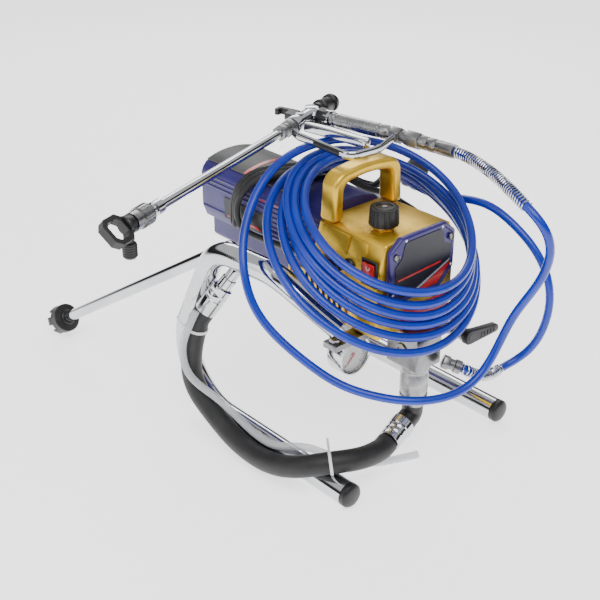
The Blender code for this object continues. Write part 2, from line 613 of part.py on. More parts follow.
def centre_on_base():
    """Put the origin under the middle of everything that is not a loose cord."""
    graph = bpy.context.evaluated_depsgraph_get()
    low, high = np.full(3, np.inf), np.full(3, -np.inf)
    for obj in bpy.context.collection.objects:
        if obj.type != "MESH" or obj.hide_render or obj.name in ("hose_coil", "power_hank", "power_plug"):
            continue
        for corner in obj.evaluated_get(graph).bound_box:
            spot = obj.matrix_world @ Vector(corner)
            low, high = np.minimum(low, spot), np.maximum(high, spot)
    shift = Vector((-(low[0] + high[0]) / 2, -(low[1] + high[1]) / 2, -low[2]))
    for obj in bpy.context.collection.objects:
        if obj.parent is None:
            obj.location += shift


clear_scene()
stand()
gearbox()
covers()
drive()
controls()
pump()
prime_valve()
gauge()
suction_set()
gun()
hoses()
power()
bpy.context.view_layer.update()
centre_on_base()
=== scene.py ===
import bpy
import bmesh
import math
from mathutils import Matrix, Vector


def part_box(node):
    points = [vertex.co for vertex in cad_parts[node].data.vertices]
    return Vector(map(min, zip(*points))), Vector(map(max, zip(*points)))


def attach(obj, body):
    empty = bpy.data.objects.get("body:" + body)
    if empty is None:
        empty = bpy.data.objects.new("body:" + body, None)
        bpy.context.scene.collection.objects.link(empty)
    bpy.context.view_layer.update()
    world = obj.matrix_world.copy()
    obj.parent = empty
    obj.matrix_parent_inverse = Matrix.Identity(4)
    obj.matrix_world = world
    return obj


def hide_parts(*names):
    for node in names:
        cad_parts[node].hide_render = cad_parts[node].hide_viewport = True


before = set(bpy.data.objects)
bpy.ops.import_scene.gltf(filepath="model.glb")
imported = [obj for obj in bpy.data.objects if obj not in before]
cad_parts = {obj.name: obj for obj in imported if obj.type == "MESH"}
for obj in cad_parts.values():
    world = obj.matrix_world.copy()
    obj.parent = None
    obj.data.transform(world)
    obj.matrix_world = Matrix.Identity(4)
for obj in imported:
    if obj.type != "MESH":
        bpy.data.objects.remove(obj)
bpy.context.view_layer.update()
print("frame loaded")

# the stand gives the middle plane and the front ends of the skids
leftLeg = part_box("stand_leg_left")
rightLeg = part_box("stand_leg_right")
middleX = (leftLeg[0][0] + rightLeg[1][0]) / 2
frontY = leftLeg[0][1]
mm = 0.001
tiny = 0.00001
creaseAngle = 35


def at(x, y, z):
    # millimetres from the middle plane, the skid fronts and the floor
    return Vector((middleX + x * mm, frontY + y * mm, z * mm))


# finishes
def newFinish(name):
    mat = bpy.data.materials.new(name)
    mat.use_nodes = True
    tree = mat.node_tree
    return mat, tree, tree.nodes["Principled BSDF"]


def addNoise(tree, scale, detail=4.0, stretch=(1, 1, 1)):
    coord = tree.nodes.new("ShaderNodeTexCoord")
    mapping = tree.nodes.new("ShaderNodeMapping")
    mapping.inputs["Scale"].default_value = stretch
    noise = tree.nodes.new("ShaderNodeTexNoise")
    noise.inputs["Scale"].default_value = scale
    noise.inputs["Detail"].default_value = detail
    tree.links.new(coord.outputs["Object"], mapping.inputs["Vector"])
    tree.links.new(mapping.outputs["Vector"], noise.inputs["Vector"])
    return noise


def addRamp(tree, source, stops, colours):
    ramp = tree.nodes.new("ShaderNodeValToRGB")
    ramp.color_ramp.elements[0].position = stops[0]
    ramp.color_ramp.elements[1].position = stops[1]
    ramp.color_ramp.elements[0].color = (*colours[0], 1)
    ramp.color_ramp.elements[1].color = (*colours[1], 1)
    tree.links.new(source, ramp.inputs["Fac"])
    return ramp


def addRange(tree, source, low, high):
    change = tree.nodes.new("ShaderNodeMapRange")
    change.inputs["To Min"].default_value = low
    change.inputs["To Max"].default_value = high
    tree.links.new(source, change.inputs["Value"])
    return change


def addBump(tree, source, shader, strength, distance=0.0005):
    bump = tree.nodes.new("ShaderNodeBump")
    bump.inputs["Strength"].default_value = strength
    bump.inputs["Distance"].default_value = distance
    tree.links.new(source, bump.inputs["Height"])
    tree.links.new(bump.outputs["Normal"], shader.inputs["Normal"])
    return bump


def mottled(name, dark, light, rough, metal=0.0, patch=60, grain=900, bump=0.1, coat=0.0, stretch=(1, 1, 1)):
    # colour drifts over wide patches, roughness and bump follow a fine grain
    mat, tree, shader = newFinish(name)
    wide = addNoise(tree, patch, 3.0)
    colour = addRamp(tree, wide.outputs["Fac"], (0.3, 0.7), (dark, light))
    tree.links.new(colour.outputs["Color"], shader.inputs["Base Color"])
    fine = addNoise(tree, grain, 5.0, stretch)
    gloss = addRange(tree, fine.outputs["Fac"], rough[0], rough[1])
    tree.links.new(gloss.outputs["Result"], shader.inputs["Roughness"])
    addBump(tree, fine.outputs["Fac"], shader, bump)
    shader.inputs["Metallic"].default_value = metal
    shader.inputs["Coat Weight"].default_value = coat
    shader.inputs["Coat Roughness"].default_value = 0.12
    return mat


finishes = {
    "chrome": mottled("chromePlate", (0.50, 0.51, 0.53), (0.62, 0.63, 0.65), (0.05, 0.12), 1.0, 30, 500,
        0.02),
    "satin": mottled("satinAlloy", (0.20, 0.20, 0.205), (0.30, 0.30, 0.305), (0.25, 0.4), 1.0, 90, 700,
        0.12),
    "brushed": mottled("turnedSteel", (0.24, 0.24, 0.245), (0.36, 0.36, 0.365), (0.18, 0.34), 1.0, 120, 1200,
        0.2,
        stretch=(1, 1, 6)),
    "gold": mottled("goldCasting", (0.66, 0.40, 0.030), (0.82, 0.54, 0.060), (0.26, 0.40), 0.8, 45, 1500,
        0.16),
    "indigo": mottled("indigoMoulding", (0.020, 0.013, 0.115), (0.030, 0.020, 0.160), (0.34, 0.48), 0.0, 40,
        2200, 0.25),
    "violet": mottled("violetMoulding", (0.018, 0.008, 0.105), (0.026, 0.013, 0.150), (0.26, 0.38), 0.0, 40,
        1800, 0.12, 0.1),
    "black": mottled("blackMoulding", (0.004, 0.004, 0.0045), (0.009, 0.009, 0.0095), (0.34, 0.48), 0.0, 60,
        1800, 0.25),
    "rubber": mottled("hoseRubber", (0.006, 0.006, 0.0065), (0.013, 0.013, 0.0135), (0.46, 0.6), 0.0, 70,
        1400, 0.3),
    "panel": mottled("darkPanel", (0.014, 0.014, 0.016), (0.024, 0.024, 0.027), (0.38, 0.5), 0.0, 50, 2000,
        0.15),
    "decal": mottled("blackDecal", (0.002, 0.002, 0.006), (0.005, 0.004, 0.012), (0.34, 0.42), 0.0, 50, 900,
        0.03),
    "hose": mottled("blueHose", (0.0, 0.018, 0.30), (0.0, 0.026, 0.40), (0.26, 0.36), 0.0, 25, 800, 0.04,
        0.12),
    "red": mottled("redGloss", (0.50, 0.008, 0.008), (0.62, 0.016, 0.012), (0.22, 0.34), 0.0, 70, 900, 0.05,
        0.3),
    "brass": mottled("brassNut", (0.50, 0.33, 0.11), (0.66, 0.45, 0.18), (0.2, 0.34), 1.0, 80, 900, 0.1),
    "white": mottled("whiteNylon", (0.76, 0.76, 0.75), (0.86, 0.86, 0.85), (0.35, 0.48), 0.0, 60, 900, 0.1),
    "dial": mottled("dialCard", (0.84, 0.84, 0.82), (0.90, 0.90, 0.88), (0.45, 0.55), 0.0, 60, 900, 0.02),
    "copper": mottled("copperWinding", (0.40, 0.14, 0.05), (0.62, 0.27, 0.11), (0.3, 0.42), 1.0, 200, 900,
        0.4,
        stretch=(1, 8, 1)),
    "board": mottled("circuitBoard", (0.008, 0.10, 0.035), (0.015, 0.16, 0.055), (0.35, 0.45), 0.0, 300, 900,
        0.1),
    "grey": mottled("greyStripe", (0.30, 0.30, 0.33), (0.38, 0.38, 0.42), (0.24, 0.32), 0.0, 60, 900, 0.02,
        0.4),
}


def clearFinish(name, colour, rough, alpha):
    mat, tree, shader = newFinish(name)
    haze = addNoise(tree, 160, 3.0)
    gloss = addRange(tree, haze.outputs["Fac"], rough, rough + 0.08)
    tree.links.new(gloss.outputs["Result"], shader.inputs["Roughness"])
    shader.inputs["Base Color"].default_value = (*colour, 1)
    shader.inputs["Alpha"].default_value = alpha
    return mat


finishes["glass"] = clearFinish("gaugeGlass", (0.90, 0.92, 0.93), 0.03, 0.12)
finishes["tube"] = clearFinish("clearTube", (0.62, 0.64, 0.66), 0.12, 0.55)
print("finishes made")


# shared shaping tools
def place(name, bm, finish, body="frame", replaced=()):
    # merge, turn the faces out, store the mesh in place and let it ride on its body
    bmesh.ops.remove_doubles(bm, verts=bm.verts, dist=tiny)
    bmesh.ops.recalc_face_normals(bm, faces=bm.faces)
    mesh = bpy.data.meshes.new(name)
    bm.to_mesh(mesh)
    bm.free()
    mesh.materials.append(finishes[finish])
    mesh.shade_smooth()
    mesh.set_sharp_from_angle(angle=math.radians(creaseAngle))
    obj = bpy.data.objects.new(name, mesh)
    bpy.context.collection.objects.link(obj)
    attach(obj, body)
    if replaced:
        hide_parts(*replaced)
    return obj


def joinShape(bm, other):
    # adds a second finished shape to the first
    mesh = bpy.data.meshes.new("part")
    other.to_mesh(mesh)
    other.free()
    bm.from_mesh(mesh)
    bpy.data.meshes.remove(mesh)
    return bm


def roundEdges(bm, edges, offset, segments):
    bmesh.ops.bevel(bm, geom=edges, offset=offset * mm, offset_type="OFFSET", segments=segments, profile=0.5,
        affect="EDGES", material=-1)


def sinkFace(bm, face, rim, wall, depth):
    # keeps a flat rim round a face and sinks the rest
    bmesh.ops.inset_region(bm, faces=[face], thickness=rim * mm, depth=0)
    bmesh.ops.inset_region(bm, faces=[face], thickness=wall * mm, depth=-depth * mm)


def standOn(bm, start, heading):
    # moves a shape made upright at the origin onto start, pointing along heading
    turn = Vector((0, 0, 1)).rotation_difference(Vector(heading)).to_matrix().to_4x4()
    bmesh.ops.transform(bm, matrix=Matrix.Translation(start) @ turn, verts=bm.verts)


def wallsInOrder(bm, axis):
    # upright faces, sorted round an axis
    def angleOf(face):
        out = face.calc_center_median() - axis
        return math.atan2(out.y, out.x)
    return sorted((f for f in bm.faces if abs(f.normal.z) < 0.5), key=angleOf)


def turnShape(outline, start, heading, steps=32):
    # spins (radius, height) points, in millimetres, round the line from start along heading
    bm = bmesh.new()
    verts = [bm.verts.new((r * mm, 0, h * mm)) for r, h in outline]
    edges = [bm.edges.new(pair) for pair in zip(verts, verts[1:])]
    if outline[0][0] > 0:
        edges.append(bm.edges.new((verts[-1], verts[0])))
    bmesh.ops.spin(bm, geom=verts + edges, cent=(0, 0, 0), axis=(0, 0, 1), angle=2 * math.pi,
        steps=steps, use_merge=True)
    bmesh.ops.remove_doubles(bm, verts=bm.verts, dist=tiny)
    standOn(bm, start, heading)
    return bm


def hexShape(across, low, high, start, heading, chamfer=0.8):
    # six-sided nut between two heights along heading
    bm = bmesh.new()
    made = bmesh.ops.create_cone(bm, cap_ends=True, segments=6, radius1=across / 1.732 * mm,
        radius2=across / 1.732 * mm, depth=(high - low) * mm)
    bmesh.ops.translate(bm, verts=made["verts"], vec=(0, 0, (low + high) / 2 * mm))
    roundEdges(bm, bm.edges[:], chamfer, 2)
    standOn(bm, start, heading)
    return bm


def blockShape(low, high, round_=1.0, segments=3):
    bm = bmesh.new()
    low, high = at(*low), at(*high)
    size = high - low
    bmesh.ops.create_cube(bm, size=1.0, matrix=Matrix.Translation((low + high) / 2) @ Matrix.Diagonal((*size,
                1)))
    if round_:
        roundEdges(bm, bm.edges[:], round_, segments)
    return bm


def boxShape(centre, turn, size, round_):
    # rounded box, turned about its centre
    bm = bmesh.new()
    bmesh.ops.create_cube(bm, size=1.0, matrix=Matrix.Translation(centre) @ turn
        @ Matrix.Diagonal((*(s * mm for s in size), 1)))
    roundEdges(bm, bm.edges[:], round_, 2)
    return bm


def plateShape(corners, push, round_=0.0, segments=3):
    # flat face through the corners, pushed along a vector, both in millimetres
    bm = bmesh.new()
    face = bm.faces.new([bm.verts.new(at(*c)) for c in corners])
    out = bmesh.ops.extrude_face_region(bm, geom=[face])
    moved = [g for g in out["geom"] if isinstance(g, bmesh.types.BMVert)]
    bmesh.ops.translate(bm, verts=moved, vec=Vector(push) * mm)
    bmesh.ops.recalc_face_normals(bm, faces=bm.faces)
    if round_:
        rims = [e for e in bm.edges if e.calc_face_angle(0) > math.radians(30)]
        roundEdges(bm, rims, round_, segments)
    return bm


def arcCorners(points, radii, steps=8):
    # rounds the inner corners of a line of points
    points = [Vector(p) for p in points]
    path = [points[0]]
    for corner, radius, before, after in zip(points[1:-1], radii, points, points[2:]):
        u, v = (before - corner).normalized(), (after - corner).normalized()
        half = u.angle(v) / 2
        centre = corner + (u + v).normalized() * (radius / math.sin(half))
        reach = radius / math.tan(half)
        first = (corner + u * reach - centre).normalized()
        last = (corner + v * reach - centre).normalized()
        path += [centre + first.slerp(last, i / steps) * radius for i in range(steps + 1)]
    return path + [points[-1]]


def smoothLine(points, step):
    # even points along a smooth curve through the given ones
    pts = [Vector(p) for p in points]
    ends = [pts[0] * 2 - pts[1], *pts, pts[-1] * 2 - pts[-2]]
    fine = []
    for a, b, c, d in zip(ends, ends[1:], ends[2:], ends[3:]):
        for i in range(24):
            t = i / 24
            fine.append(0.5 * (2 * b + (c - a) * t + (2 * a - 5 * b + 4 * c - d) * t * t
                    + (3 * b - a - 3 * c + d) * t * t * t))
    fine.append(pts[-1])
    runs = [0.0]
    for a, b in zip(fine, fine[1:]):
        runs.append(runs[-1] + (b - a).length)
    count = max(2, round(runs[-1] / step))
    spots, k = [], 0
    for i in range(count + 1):
        goal = runs[-1] * i / count
        while k < len(runs) - 2 and runs[k + 1] < goal:
            k += 1
        part = (goal - runs[k]) / max(1e-9, runs[k + 1] - runs[k])
        spots.append(fine[k].lerp(fine[k + 1], min(1, part)))
    return spots


def tubeShape(spots, radius, sides=5, radii=None):
    # round tube along world points, made by a bevelled curve and stored as a mesh
    data = bpy.data.curves.new("tube", "CURVE")
    data.dimensions = "3D"
    data.bevel_depth = radius * mm
    data.bevel_resolution = sides
    data.use_fill_caps = True
    data.twist_mode = "MINIMUM"
    line = data.splines.new("POLY")
    line.points.add(len(spots) - 1)
    for i, spot in enumerate(spots):
        line.points[i].co = (*spot, 1.0)
        line.points[i].radius = radii[i] if radii else 1.0
    holder = bpy.data.objects.new("tube", data)
    bpy.context.collection.objects.link(holder)
    graph = bpy.context.evaluated_depsgraph_get()
    mesh = bpy.data.meshes.new_from_object(holder.evaluated_get(graph))
    bm = bmesh.new()
    bm.from_mesh(mesh)
    bpy.data.objects.remove(holder)
    bpy.data.meshes.remove(mesh)
    return bm


def relaxed(spots, rounds, held=3):
    # evens out sharp bends, leaving both ends as they are
    spots = [s.copy() for s in spots]
    for _ in range(rounds):
        middle = [(a + c) * 0.25 + b * 0.5 for a, b, c in zip(spots, spots[1:], spots[2:])]
        spots[held:-held] = middle[held - 1:len(middle) - held + 1]
    return spots


def lineLength(spots):
    return sum((b - a).length for a, b in zip(spots, spots[1:]))


def helixLine(spots, radius, pitch, perTurn=10):
    # wire wound round a line of points
    turns = []
    heading = (spots[1] - spots[0]).normalized()
    side = heading.orthogonal().normalized()
    total = lineLength(spots)
    count = int(total / (pitch * mm) * perTurn)
    runs, k = 0.0, 0
    for i in range(count + 1):
        goal = total * i / count
        while k < len(spots) - 2 and runs + (spots[k + 1] - spots[k]).length < goal:
            runs += (spots[k + 1] - spots[k]).length
            k += 1
        piece = spots[k + 1] - spots[k]
        spot = spots[k] + piece.normalized() * (goal - runs)
        along = piece.normalized()
        side = (side - along * side.dot(along)).normalized()
        angle = 2 * math.pi * i / perTurn
        turns.append(spot + (side * math.cos(angle) + along.cross(side) * math.sin(angle)) * radius * mm)
    return turns


# camera
view = {"lens": 65.7, "azimuth": -41.7, "elevation": 27.5, "spot": (-795.6, -676.1, 745.0)}
camera = bpy.data.objects.new("camera", bpy.data.cameras.new("camera"))
bpy.context.collection.objects.link(camera)
camera.data.lens = view["lens"]
camera.data.sensor_width = 36.0
camera.data.clip_end = 50
turnAngle, tilt = math.radians(view["azimuth"]), math.radians(view["elevation"])
back = Vector((math.sin(turnAngle) * math.cos(tilt), -math.cos(turnAngle) * math.cos(tilt), math.sin(tilt)))
camera.location = at(*view["spot"])
camera.rotation_euler = (-back).to_track_quat("-Z", "Y").to_euler()
bpy.context.scene.camera = camera

# high pressure hose
hose = {"diameter": 9.5, "step": 7.0, "easing": 14, "wire": 0.95, "pitch": 3.7}
# coil turns, inside to outside: centre, half axis at 0 degrees, half axis at 90 degrees
coilTurns = [
    ((16.0, 86.0, 266.9), (80.9, -52.7, -31.2), (69.8, 78.4, 34.2)),
    ((13.3, 92.0, 259.4), (83.0, -57.3, -36.2), (71.9, 80.7, 40.5)),
    ((14.3, 96.6, 253.4), (87.1, -61.9, -40.5), (75.1, 84.3, 46.2)),
    ((14.7, 89.1, 242.4), (95.3, -53.0, -37.3), (71.6, 80.4, 48.5)),
    ((13.0, 94.1, 235.4), (99.3, -57.8, -41.2), (74.6, 83.8, 54.1)),
    ((7.0, 98.4, 227.8), (105.9, -63.2, -45.2), (78.3, 87.9, 61.4)),
]
outletSpot, outletWay = Vector((15, -2.6, 127)), Vector((0.62, -0.70, -0.36)).normalized()
pumpGuard = [outletSpot + outletWay * 22, outletSpot + outletWay * 29, (56, -27, 100), (78, -21, 90),
    (93.2, -16, 87.5)]
pumpRun = [(116, -17, 88.5), (131, -31, 102), (141, -42, 130), (148, -44, 180), (145, -22, 225),
    (140, 20, 254),
    (136, 52, 266)]
gunRun = [(40, 190, 329), (10, 194, 330), (-36, 190, 329), (-78, 184, 316), (-115, 172, 284),
    (-146, 145, 246),
    (-148, 114, 190), (-112, 44, 133), (-82, 4, 118), (-50, -26, 112), (-3, -44, 111), (36, -48, 130),
    (60, -57, 188), (63, -78, 225), (60, -94, 258), (50, -104, 290), (40, -100, 314)]
gunGuard = [(36, -75, 330), (52, -38, 335.5), (67, 2, 340), (72, 26, 341.5), (73.8, 47.4, 342)]


def ease(value):
    value = min(1, max(0, value))
    return value * value * (3 - 2 * value)


def turnSpot(turn, degrees):
    centre, first, second = (Vector(v) for v in turn)
    angle = math.radians(degrees)
    return centre + first * math.cos(angle) + second * math.sin(angle)


def coilRoute():
    # outermost turn first; every turn slips one place inward along its front right quarter
    spots = []
    for k in range(len(coilTurns) - 1, -1, -1):
        first = 55 if k == len(coilTurns) - 1 else 40
        spots += [turnSpot(coilTurns[k], d) for d in range(first, 300, 15)]
        if k:
            for d in range(300, 391, 15):
                spots.append(turnSpot(coilTurns[k], d).lerp(turnSpot(coilTurns[k - 1], d),
                        ease((d - 290) / 95)))
        else:
            for d in range(300, 466, 15):
                spots.append(turnSpot(coilTurns[0], d) + Vector((0, 3, 17)) * ease((d - 310) / 100))
    return spots


def toWorld(points):
    return [at(*p) for p in points]


hoseRoute = toWorld(pumpGuard + pumpRun + coilRoute() + gunRun + gunGuard)
hosePath = relaxed(smoothLine(hoseRoute, hose["step"] * mm), hose["easing"])
bm = tubeShape(hosePath, hose["diameter"] / 2, 6)
blueHose = place("blueHose", bm, "hose", replaced=("hose_coil", "hose_pump_run", "hose_gun_run"))
for label, stretch, node in (("pumpSpring", hosePath[:13], "spring_guard_pump"),
        ("gunSpring", hosePath[-20:], "spring_guard_gun")):
    wire = helixLine(smoothLine(stretch, 2 * mm), hose["diameter"] / 2 + hose["wire"], hose["pitch"])
    place(label, tubeShape(wire, hose["wire"], 2), "chrome", replaced=(node,))
print("hose laid", round(lineLength(hosePath), 2))

# suction hose and clear return tube
suction = {"diameter": 25.0, "tube": 9.0, "tieWidth": 3.2, "easing": 16}
suctionRoute = [(-47, 16.8, 36.7), (-60, 14.6, 33.8), (-80, 12, 35.5), (-108, 14, 42), (-129, 28, 42),
    (-145, 48, 33),
    (-152.6, 84, 19), (-152.8, 122, 13.2), (-152.8, 160, 17), (-152.6, 191, 30), (-151, 237, 51),
    (-152, 240, 83), (-150, 236, 113), (-145.5, 231.5, 138), (-138.4, 226.3, 152.3)]
returnRoute = [(-5, 8, 5), (-43, 23, 5), (-75, 40, 8), (-98, 55, 22), (-118, 72, 35), (-134, 92, 32),
    (-140, 106, 28.5),
    (-140, 140, 29), (-141, 172, 38), (-149, 196, 54), (-162, 224, 70), (-169, 231, 95), (-169, 231, 118),
    (-165, 220.5, 146), (-157, 218, 162)]


def tieShape(centre, along, radius, width):
    # flat strap with a square buckle and a short tail
    along = Vector(along).normalized()
    bm = turnShape([(radius, -width / 2), (radius + 1.1, -width / 2), (radius + 1.1, width / 2),
            (radius, width / 2)],
        centre, along, 40)
    out = along.cross(Vector((0.3, 0.2, 1))).normalized()
    turn = Matrix((out, along, out.cross(along))).transposed().to_4x4()
    buckle, tail = out * (radius + 2.4), out * (radius + 3) + out.cross(along) * 13
    for size, spot in (((5, 6.4, 6.4), buckle), ((1.2, 2.6, 22), tail)):
        joinShape(bm, boxShape(centre + spot * mm, turn, size, 0.4))
    return bm


suctionPath = relaxed(smoothLine(toWorld(suctionRoute), 6 * mm), suction["easing"])
suctionHose = place("suctionHose", tubeShape(suctionPath, suction["diameter"] / 2, 14), "rubber",
    replaced=("suction_hose",))
for label, k in (("hoseTieLow", 14), ("hoseTieHigh", len(suctionPath) - 5)):
    along = suctionPath[k + 1] - suctionPath[k - 1]
    place(label, tieShape(suctionPath[k], along, suction["diameter"] / 2 + 0.2,
                suction["tieWidth"]), "white")
returnPath = relaxed(smoothLine(toWorld(returnRoute), 4 * mm), suction["easing"])
returnTube = place("returnTube", tubeShape(returnPath, suction["tube"] / 2, 8), "tube",
    replaced=("return_tube",))
print("suction hose laid")

# power cord, folded into a flat hank that lies over the motor
power = {"diameter": 7.5, "runs": (-11.2, 11.2, 0.0), "easing": 5}
powerRoute = [(-65.9, 73, 240.6), (-66.8, 80, 240), (-67, 88, 239), (-65, 110, 235), (-60, 150, 229),
    (-57, 200, 223),
    (-56, 238, 220), (-58, 258, 225), (-61, 262.5, 233)]
hankRoute = [(-62, 262, 236), (-62, 261, 256), (-59, 254, 273), (-46, 245, 288), (-22, 231, 293),
    (8, 217, 292.4),
    (34, 211, 289.4), (54, 202, 279), (72, 191, 265), (92, 182, 256), (112, 182, 254), (127, 190, 263)]
across = Vector((0.47, 0.88, 0)).normalized()
spine = smoothLine([Vector(p) for p in hankRoute], 12)
lanes = power["runs"]
last = len(spine) - 1
endWay = (spine[-1] - spine[-2]).normalized()
startWay = (spine[0] - spine[1]).normalized()
lay = [Vector(p) for p in powerRoute[:-1]]
lay += [p + across * lanes[0] for p in spine[1:last - 1]]
for d in range(-60, 61, 30):
    angle = math.radians(d)
    lay.append(spine[-2] + across * (lanes[1] * math.sin(angle)) + endWay * (lanes[1] * math.cos(angle) + 1))
lay += [p + across * lanes[1] for p in reversed(spine[2:last - 1])]
for side, reach in ((14, 3), (16, 12), (14, 21), (6.5, 26), (-1, 22), (-3.5, 13), (-2, 3)):
    lay.append(spine[1] + across * side + startWay * reach)
lay += [p + across * lanes[2] for p in spine[2:last - 3]]
plugStart, plugEnd = Vector((135, 190, 271)), Vector((162, 167, 254))
plugWay = (plugEnd - plugStart).normalized()
lay += [Vector((108, 186, 265)), plugStart - plugWay * 13 + Vector((-1, 1, 0)), plugStart + plugWay * 2]
powerPath = relaxed(smoothLine(toWorld(lay), 4 * mm), power["easing"])
powerLead = place("powerLead", tubeShape(powerPath, power["diameter"] / 2, 5), "rubber",
    replaced=("power_cord", "power_hank"))
glandSpot = at(-58.35, 72, 241)
relief = place("strainRelief", joinShape(
        turnShape([(0, 0), (7.4, 0), (7.4, 1.4), (6.2, 3.2), (0, 3.2)], glandSpot, (-1, 0, 0)),
        tubeShape(powerPath[1:9], power["diameter"] / 2 + 1.6, 5,
            [1.0, 0.82, 0.97, 0.8, 0.92, 0.78, 0.86, 0.76])), "black", replaced=("cord_gland",))
bm = turnShape([(0, 0), (5, 0), (5.6, 3), (5.0, 4), (6.6, 7), (6.0, 8), (8.2, 10), (16, 13), (18, 16),
        (18, 22), (17.2, 23),
        (17.2, 27), (18, 28), (18, 34), (16.6, 35.6), (0, 35.6)], at(*plugStart), plugWay, 32)
plug = place("mainsPlug", bm, "black", replaced=("power_plug",))
pinSide = plugWay.cross(Vector((0, 0, 1))).normalized()
bm = bmesh.new()
for side in (-9.5, 9.5):
    joinShape(bm, turnShape([(0, 0), (2.4, 0), (2.4, 7.2), (1.6, 8.6), (0, 8.6)],
            at(*(plugStart + plugWay * 27.6 + pinSide * side)), plugWay, 16))
pins = place("plugPins", bm, "brushed")
# flat tie round the folded cord
tieAt = spine[15]
tieWay = (spine[16] - spine[14]).normalized()
tieLift = tieWay.cross(across).normalized()
bm = turnShape([(16.2, -2), (17.2, -2), (17.2, 2), (16.2, 2)], at(*tieAt), tieWay, 48)
turn = Matrix((across, tieLift, tieWay)).transposed().to_4x4()
bmesh.ops.scale(bm, vec=(1, 0.33, 1), space=(Matrix.Translation(at(*tieAt)) @ turn).inverted(),
    verts=bm.verts)
hankTie = place("hankTie", bm, "black")
print("power cord laid", round(lineLength(powerPath), 2))

# stand
stand = {"tube": 28.0, "bends": (75, 42, 60)}
for side, word in ((-1, "left"), (1, "right")):
    corners = [(side * x, y, z) for x, y, z in ((124.3, 0, 14), (124.3, 334, 14), (124.3, 218, 230),
            (110, 132, 224),
            (80, 63, 175))]
    line = toWorld(arcCorners(corners, stand["bends"], 14))
    place("leg" + word.title(), tubeShape(line, stand["tube"] / 2, 14), "chrome",
        replaced=("stand_leg_" + word,))
    cap = [(0, 0), (13.2, 0), (13.9, 0.8), (13.9, 4.8), (12.6, 6.6), (9.6, 8.0), (5, 8.7), (0, 8.9)]
    place("cap" + word.title(), turnShape(cap, at(side * 124.3, -0.35, 14), (0, -1, 0), 40), "black",
        replaced=("end_cap_" + word,))
bm = plateShape([(-96, 52, 155.2), (96, 52, 155.2), (96, 52, 162.6), (50, 52, 162.6), (50, 52, 164.5),
        (-50, 52, 164.5),
        (-50, 52, 162.6), (-96, 52, 162.6)], (0, 20, 0), 0.8)
place("crossPlate", bm, "satin", replaced=("mounting_bracket",))
bm = bmesh.new()
for x in (-88, 88):
    joinShape(bm, hexShape(12, 0, 5, at(x, 62, 162.4), (0, 0, 1)))
place("plateBolts", bm, "brushed")
place("skidPlug", turnShape([(0, 0), (3.2, 0), (3.2, 0.9), (2.2, 1.4), (0, 1.4)], at(-138.2, 92, 16),
        (-1, 0, 0.1), 20),
    "black")
print("stand built")

# gold housing with its handle
housing = {"front": 28, "depth": 100}
outline = [(-57.8, 165), (-58, 170), (-58, 248), (-50.5, 273.4), (-47, 275), (47, 275), (50.5, 273.4),
    (58, 248), (58, 170),
    (57.8, 165)]
bm = plateShape([(x, housing["front"], z) for x, z in outline], (0, housing["depth"], 0), 2.6, 4)
place("casting", bm, "gold", replaced=("gearbox_housing",))
outer = arcCorners([(-53, 0, 275.3), (-49.5, 0, 328), (0, 0, 334), (49.5, 0, 328), (53, 0, 275.3)],
    (19, 160, 19), 10)
inner = arcCorners([(38, 0, 275.3), (36.5, 0, 317), (0, 0, 322), (-36.5, 0, 317), (-38, 0, 275.3)],
    (12, 140, 12), 8)
bm = plateShape([(p.x, 103.2, p.z) for p in outer + inner], (0, 23.6, 0), 4.6, 5)
place("carryArch", bm, "gold", replaced=("carry_handle",))
bm = bmesh.new()
for x, way in ((-57.9, -1), (57.9, 1)):
    # three bosses on each cheek
    for y, z in ((36, 174), (120, 174), (120, 236)):
        joinShape(bm, turnShape([(0, 0), (6, 0), (6, 0.8), (4.6, 1.6), (3.2, 1.6), (2.6, 0.8), (0, 0.8)],
                at(x, y, z),
                (way, 0, 0), 20))
joinShape(bm, turnShape([(0, 0), (20.5, 0), (20.5, 0.1), (19.0, 0.3), (0, 0.3)], at(-20, 61, 275), (0, 0, 1),
        36))
for low, high in ((50, 74), (78, 122)):
    # raised panels on the sloping left shoulder
    joinShape(bm, plateShape([(-57.4, low, 250.4), (-51.4, low, 270.6), (-51.4, high, 270.6),
                (-57.4, high, 250.4)],
            (-1.2, 0, 0.36), 0.6, 3))
place("castBosses", bm, "gold")
print("housing built")

# front cover
cover = {"decal": 0.5, "mark": 0.25}
outline = [(-50, 215), (-50, 268), (-34, 281), (34, 281), (50, 268), (50, 225), (30, 205), (-34, 205)]
bm = plateShape([(x, 27.6, z) for x, z in outline], (0, -7.4, 0), 2.4, 4)
front = min(bm.faces, key=lambda f: f.calc_center_median().y)
sinkFace(bm, front, 2.2, 1.0, 0.9)
place("coverShell", bm, "violet", replaced=("front_cover",))
bm = plateShape([(-42, 20.9, 222), (-42, 20.9, 250), (-33, 20.9, 258), (-29, 20.9, 272), (-26, 20.9, 275),
        (26, 20.9, 275),
        (31, 20.9, 270), (33, 20.9, 258), (44, 20.9, 252), (44, 20.9, 229), (26, 20.9, 211),
        (-30, 20.9, 211)],
    (0, -cover["decal"], 0), 0.15, 1)
place("coverDecal", bm, "decal")
bm = plateShape([(-38, 20.3, 232.4), (28, 20.3, 235.4), (28, 20.3, 237.6), (-38, 20.3, 234.6)],
    (0, -cover["mark"], 0))
joinShape(bm, plateShape([(-10, 20.3, 212), (24, 20.3, 212), (43, 20.3, 230), (43, 20.3, 231.5),
            (34, 20.3, 229.5)],
        (0, -cover["mark"], 0)))
place("coverRed", bm, "red")
bm = plateShape([(-21, 20.3, 212), (-13, 20.3, 212), (41, 20.3, 233), (43, 20.3, 236)],
    (0, -cover["mark"], 0))
place("coverStripe", bm, "grey")
bm = bmesh.new()
